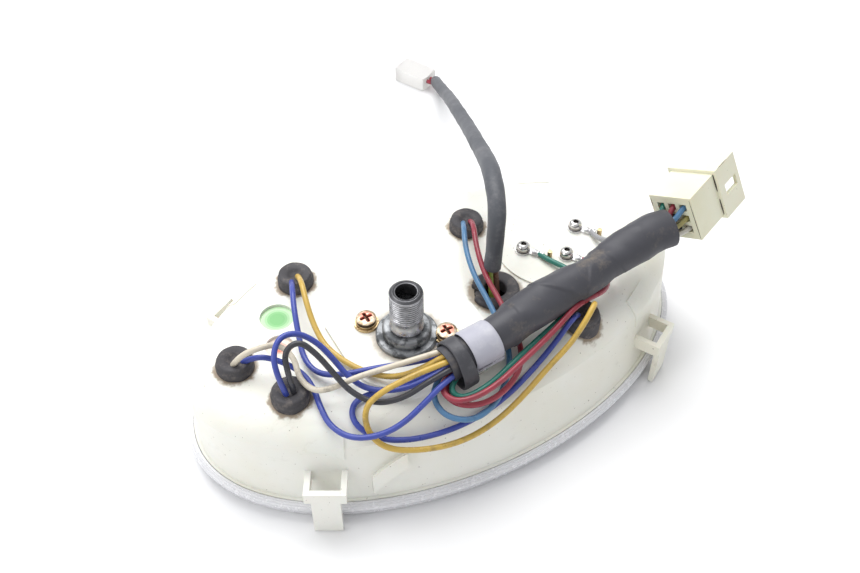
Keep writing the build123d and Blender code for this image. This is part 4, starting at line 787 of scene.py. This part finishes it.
# %% Rubber heads
heads = []
for k, (x, y) in enumerate(SOCKET_SPOTS):
    spin = np.linspace(0, 2 * np.pi, 64, endpoint=False)
    profile = np.array([(0, 27), (4.9, 27), (5, 27.4), (5, 40.9), (6.45, 41.0), (6.6, 41.4), (6.6, 43.2), (6.35, 43.7),
                        (6.2, 43.8), (6.1, 44.0), (6.05, 45.1), (5.8, 45.6), (5.3, 45.85), (4.4, 45.7), (3.4, 45.55),
                        (2.6, 45.2), (2.0, 44.6), (1.2, 44.3), (0, 44.2)])
    r = profile[:, :1] * (1 + 0.012 * np.sin(3 * spin + k) + 0.008 * np.sin(7 * spin + 2 * k))
    px, py = x + r * np.cos(spin), y + r * np.sin(spin)
    pz = profile[:, 1:] + 0.05 * np.sin(5 * spin + k) * (profile[:, 1:] > 43)
    foot = (profile[:, 1:] > 40.95) & (profile[:, 1:] < 41.5)
    pz = np.where(foot, np.minimum(pz, back_height(px, py) - 0.25), pz)
    heads.append((np.stack([px, py, pz], axis=-1), grid_faces(len(profile), 64)))
put("socket_heads", heads, rubber, stands_for=["bulb_sockets"], sharp=45)

# %% Torn grommet
spin = np.linspace(0, 2 * np.pi, 160, endpoint=False)
ragged = 0.75 + 0.35 * np.sin(23 * spin) + 0.2 * np.sin(41 * spin)
tear = np.exp(-(((spin - math.radians(158)) / 0.30) ** 2)) * ragged
profile = np.array([(4.2, 37.9), (7.4, 37.9), (7.5, 38.2), (7.5, 41.0), (8.7, 41.05), (9.0, 41.4), (9.0, 42.6),
                    (8.6, 43.1), (7.9, 43.25), (6.2, 43.1), (5.0, 42.9), (4.4, 42.7), (4.2, 42.3)])
outer = np.clip((profile[:, :1] - 7.0) / 2.0, 0, 1) * (profile[:, 1:] > 40.9)
r = profile[:, :1] * (1 + 0.010 * np.sin(2 * spin + 1)) - 3.6 * outer * tear
z = profile[:, 1:] + 0.12 * np.sin(3 * spin) * (profile[:, 1:] > 42) - 0.5 * tear * (profile[:, 1:] > 42.9)
grid = np.stack([GROMMET[0] + r * np.cos(spin), GROMMET[1] + r * np.sin(spin), z], axis=-1)
put("torn_grommet", [(grid, grid_faces(len(profile), 160, close_rows=True))], rubber, stands_for=["lead_grommet"],
    sharp=45)

# %% [markdown]
# ## Fuel gauge terminals
# Three studs stand through the back, each with a domed nut that is bright on top and dark in its groove. A
# ring tag lies under it, and its tail is rolled round the wire as a crimp.

# %% Domed nuts and crimps
nut = [(0, 37), (1.65, 37), (1.7, 37.3), (1.7, 42.6), (2.5, 42.6), (2.65, 42.85), (2.65, 43.3), (2.55, 43.45),
       (2.6, 43.7), (2.5, 44.3), (2.15, 44.9), (1.6, 45.3), (1.0, 45.45), (0.8, 45.3), (0.7, 44.7), (0, 44.6)]
put("domed_nuts", [turned(nut, spot, 40) for spot in GAUGE_SCREWS], nut_finish,
    stands_for=["fuel_terminal_screws"], sharp=50)
heading = math.radians(-55)
crimps = []
for x, y in GAUGE_SCREWS:
    away = np.linspace(3.9, 8.2, 14)
    line = np.stack([x + away * math.cos(heading), y + away * math.sin(heading), np.full(14, 42.9)], axis=-1)
    spin = np.linspace(0, 2 * np.pi, 20, endpoint=False)
    squeeze = 1.35 - 0.35 * np.exp(-((away - 6) / 0.7) ** 2)
    section = np.stack([squeeze[:, None] * np.cos(spin), squeeze[:, None] * np.sin(spin) * 0.85], axis=-1)
    crimps.append(along(line, section))
put("crimps", crimps, tin_finish, sharp=40)

# %% [markdown]
# ## Harness clamp
# A soft plastic clip is screwed down beside the fitting, climbs the far side of the sleeve, goes over it and
# ends in a folded lip on the near side. A clearer tongue comes up from below and tucks under that lip. Both are
# strips: a line of points in the plane across the sleeve, given a width and a thickness.


# %% Strips across the sleeve
def strip(line, half_width, thick, way, ripple=0.0):
    """A flat strip: its line carried half a width both ways, then offset half a thickness along its normal."""
    normal = unit(np.cross(way, unit(np.gradient(line, axis=0))))
    share = np.linspace(-1, 1, 21)
    round_edge = np.sqrt(np.clip(1 - np.abs(share) ** 12, 0, 1))
    middle = line[:, None] + np.outer(half_width, share)[..., None] * way
    middle = middle + normal[:, None] * (ripple * np.sin(share * 3 + 1))[None, :, None]
    rise = normal[:, None] * (round_edge * thick / 2)[None, :, None]
    loop = np.concatenate([middle + rise, (middle - rise)[:, ::-1]], axis=1)
    ends = [np.repeat(g.mean(axis=0)[None, None], loop.shape[1], axis=1) for g in (middle[0], middle[-1])]
    grid = np.concatenate([ends[0], loop, ends[1]])
    return grid, grid_faces(len(grid), loop.shape[1])


SLEEVE_WAY = unit(np.array((19, 1.5, 1.5)))
CLAMP_MID = np.array(SLEEVE[0]) + SLEEVE_WAY * 11.8
FAR = unit(np.cross((0, 0, 1.0), SLEEVE_WAY))
OVER = np.cross(SLEEVE_WAY, FAR)


def round_clamp(angle, radius):
    """Points round the sleeve at the clamp: 0 degrees is the far side, 90 the top, 180 the near side."""
    angle, radius = np.radians(angle), np.broadcast_to(radius, np.shape(angle))
    return CLAMP_MID + radius[:, None] * (FAR * np.cos(angle)[:, None] + OVER * np.sin(angle)[:, None])


plate = np.stack([np.full(26, -9.9), np.linspace(-17.0, -28.6, 26), np.full(26, 42.42)], axis=-1)
rise = np.stack([np.linspace(-9.5, -7.2, 12), -29.2 - 1.0 * np.sin(np.linspace(0.2, 1.5, 12)),
                 np.linspace(42.9, 48.2, 12)], axis=-1)
wrap = round_clamp(np.linspace(-12, 196, 60), 7.05)
lip = round_clamp(np.array((199.0, 202.0, 204.0)), np.array((7.2, 7.45, 7.75)))
line = np.concatenate([plate, rise, wrap, lip])
around = np.sqrt(np.clip(5.2 ** 2 - (np.linspace(5.2, -6.4, 26)) ** 2, 0.05, None))
around = np.where(np.linspace(5.2, -6.4, 26) < 3.0, np.maximum(around, 4.2), around)
width = np.r_[around, np.linspace(4.2, 5.0, 12), np.linspace(5.1, 5.5, 20), np.full(43, 5.5)]
put("clamp_clip", [strip(line, width, 0.8, np.array((1.0, 0, 0)) * 0.4 + SLEEVE_WAY * 0.6)], clamp_finish,
    stands_for=["harness_clamp"], sharp=50)
tongue = round_clamp(np.linspace(200, 262, 26), np.linspace(7.0, 8.4, 26) + 0.7 * np.sin(np.linspace(0, np.pi, 26)))
put("clamp_tongue", [strip(tongue, np.linspace(5.4, 6.0, 26), 0.7, SLEEVE_WAY, 0.15)], tongue_finish,
    sharp=50)
fold_line = round_clamp(np.full(24, 193.0), 7.52) + np.outer(np.linspace(-5.2, 5.2, 24), SLEEVE_WAY)
seam = round_section(0.5, 0.3, 0.12, 3)
put("clamp_fold", [along(fold_line, seam)], clamp_dark, sharp=50)

# %% Rubber band with a slack loop
spin = np.radians(np.linspace(0, 360, 96, endpoint=False))
slack = np.clip(np.cos(spin - math.radians(218)), 0, 1) ** 3 * 3.0
middle = np.array(SLEEVE[0]) + SLEEVE_WAY * 2.6
loop = middle + (7.15 + slack)[:, None] * (FAR * np.cos(spin)[:, None] + OVER * np.sin(spin)[:, None])
outward = unit(loop - middle)
half = 2.6 + 0.25 * np.sin(spin * 2 + 1)
cut = round_section(2.0, 1.0, 0.4, 5)
grid = loop[:, None] + cut[None, :, 0:1] * half[:, None, None] * SLEEVE_WAY + cut[None, :, 1:2] * outward[:, None]
put("rubber_band", [(grid, grid_faces(96, len(cut), close_rows=True))], band_finish, stands_for=["clamp_band"],
    sharp=50)

# %% [markdown]
# ## Wires into the connector
# Nine short wires bridge the gap from the sleeve to the square ways of the connector. Each is a short smooth
# line like the long ones, in its own colour.

# %% Nine coloured tails
AT, AXIS, ACROSS = (np.array(v) for v in ((82.6, -27.0, 61.2), (0.929, 0.359, 0.087), (0.290, -0.854, 0.431)))
AXIS, ACROSS = unit(AXIS), unit(ACROSS)
DOWN = np.cross(AXIS, ACROSS)
END = np.array(SLEEVE[-1], float)
END_WAY = unit(END - np.array(SLEEVE[-2]))
TAILS = ["teal", "red", "light_blue", "yellow", "brown", "olive", "blue", "black", "clear"]
for number, tint in enumerate(TAILS):
    column, row = number % 3 - 1, number // 3 - 1
    start = END - END_WAY * 0.6 + ACROSS * column * 2.9 + DOWN * row * 2.9
    stop = AT + AXIS * 4.2 + ACROSS * column * 4.6 + DOWN * row * 4.6
    bow = (DOWN * (0.5 - 0.4 * column) + ACROSS * 0.3 * row) * 0.8
    tail = smooth_line(f"connector_wire_{tint}", [start, start + END_WAY * 2.4 + bow, stop - AXIS * 3.5, stop], 2.05)
    tail.data.materials.append(wire_finish[tint])
    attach(tail, "cluster")
    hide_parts("connector_wires")
print("connector wires", len(TAILS))

# %% [markdown]
# ## Dirt along the connector's edges
# Grime sits as thin dark lines where two faces of the connector meet. A noise can't find an edge, so each line
# is a very thin rounded bar along the edge itself, in the connector's own directions.


# %% Dirt lines
def in_connector(way, across, down):
    """A point of the connector: millimetres along its axis, across it and down it."""
    return AT + AXIS * way + ACROSS * across + DOWN * down


bars = []
for first, last, size in (((15.3, 8.98, -8.9), (15.3, 8.98, -1.6), 0.5), ((15.3, 8.98, 1.8), (15.3, 8.98, 8.6), 0.42),
                          ((0.0, 8.15, -8.3), (0.0, 8.35, 8.9), 0.26), ((0.0, -8.35, -7.6), (0.0, -8.4, -4.0), 0.2),
                          ((17.2, 10.12, -10.36), (23.5, 10.12, -10.36), 0.2)):
    share = np.linspace(0, 1, 12)[:, None]
    bars.append(along(in_connector(*first) * (1 - share) + in_connector(*last) * share,
                      round_section(size, size, size * 0.4, 3) * np.sin(np.pi * (0.12 + 0.76 * share))[:, None]))
put("connector_dirt", bars, dirt_finish, sharp=60)

# %% [markdown]
# ## Dial marks
# Seen from the front, the black dial carries a ring of white marks for each needle. Every mark is a thin flat
# bar that points at its needle's pivot; the long ones stand at every fifth place.

# %% Dial marks
FUEL_PIVOT = (48.5, -1.5)
DIAL_LEVEL = 9.97
marks = []
for centre, start, sweep, count, outer in ((FITTING, 150, 240, 61, 31.0), (FUEL_PIVOT, -135, 90, 17, 21.0)):
    for k in range(count):
        angle = math.radians(start + sweep * k / (count - 1))
        way = np.array((math.cos(angle), math.sin(angle), 0))
        inner = outer - (4.0 if k % 5 == 0 else 2.2)
        line = np.array(centre + (DIAL_LEVEL,)) + np.outer(np.linspace(inner, outer, 3), way)
        marks.append(along(line, round_section(0.7 if k % 5 == 0 else 0.4, 0.1, 0.03, 2)))
put("dial_marks", marks, mark_finish, sharp=30)

# %% [markdown]
# ## Floor, light and camera
# The cluster lies on a white floor under very soft, bright light, so its shadows are faint. A large lamp
# overhead and a pale world give that; a second lamp from the left adds the long highlight on the lens rim.

# %% Floor
floor_material = bpy.data.materials.new("white floor")
floor_material.use_nodes = True
floor_shader = floor_material.node_tree.nodes["Principled BSDF"]
floor_shader.inputs["Base Color"].default_value = (0.88, 0.88, 0.885, 1)
floor_shader.inputs["Roughness"].default_value = 0.7
floor_mesh = bpy.data.meshes.new("floor")
floor_mesh.from_pydata([(-6, -6, 0), (6, -6, 0), (6, 6, 0), (-6, 6, 0)], [], [(0, 1, 2, 3)])
floor = bpy.data.objects.new("floor", floor_mesh)
floor.location.z = -0.0002
floor_mesh.materials.append(floor_material)
bpy.context.scene.collection.objects.link(floor)


# %% Lamps and world
def lamp(name, place, aim, size, power):
    """A square area lamp at a place, turned to aim at a point."""
    data = bpy.data.lights.new(name, "AREA")
    data.size = size
    data.energy = power
    obj = bpy.data.objects.new(name, data)
    way = np.array(aim, float) - np.array(place, float)
    obj.location = place
    obj.rotation_euler = (math.atan2(math.hypot(way[0], way[1]), -way[2]), 0,
                          math.atan2(way[1], way[0]) - math.pi / 2)
    bpy.context.scene.collection.objects.link(obj)


lamp("overhead", (0.15, 0.75, 1.5), (0, 0, 0), 1.4, 30)
lamp("left", (-1.3, 0.1, 1.0), (0, 0, 0.02), 1.0, 7)
world = bpy.data.worlds.new("pale room")
world.use_nodes = True
world.node_tree.nodes["Background"].inputs["Color"].default_value = (0.97, 0.98, 1.0, 1)
world.node_tree.nodes["Background"].inputs["Strength"].default_value = 0.62
bpy.context.scene.world = world
bpy.context.scene.view_settings.view_transform = "Standard"

# %% Camera
camera_data = bpy.data.cameras.new("camera")
camera_data.sensor_width = 36
camera_data.lens = 42.94
camera_data.clip_start = 0.01
camera = bpy.data.objects.new("camera", camera_data)
camera.location = (-0.1266, -0.2207, 0.3178)
camera.rotation_euler = (math.radians(90 - 47.31), 0, math.radians(-29.0))
bpy.context.scene.collection.objects.link(camera)
bpy.context.scene.camera = camera
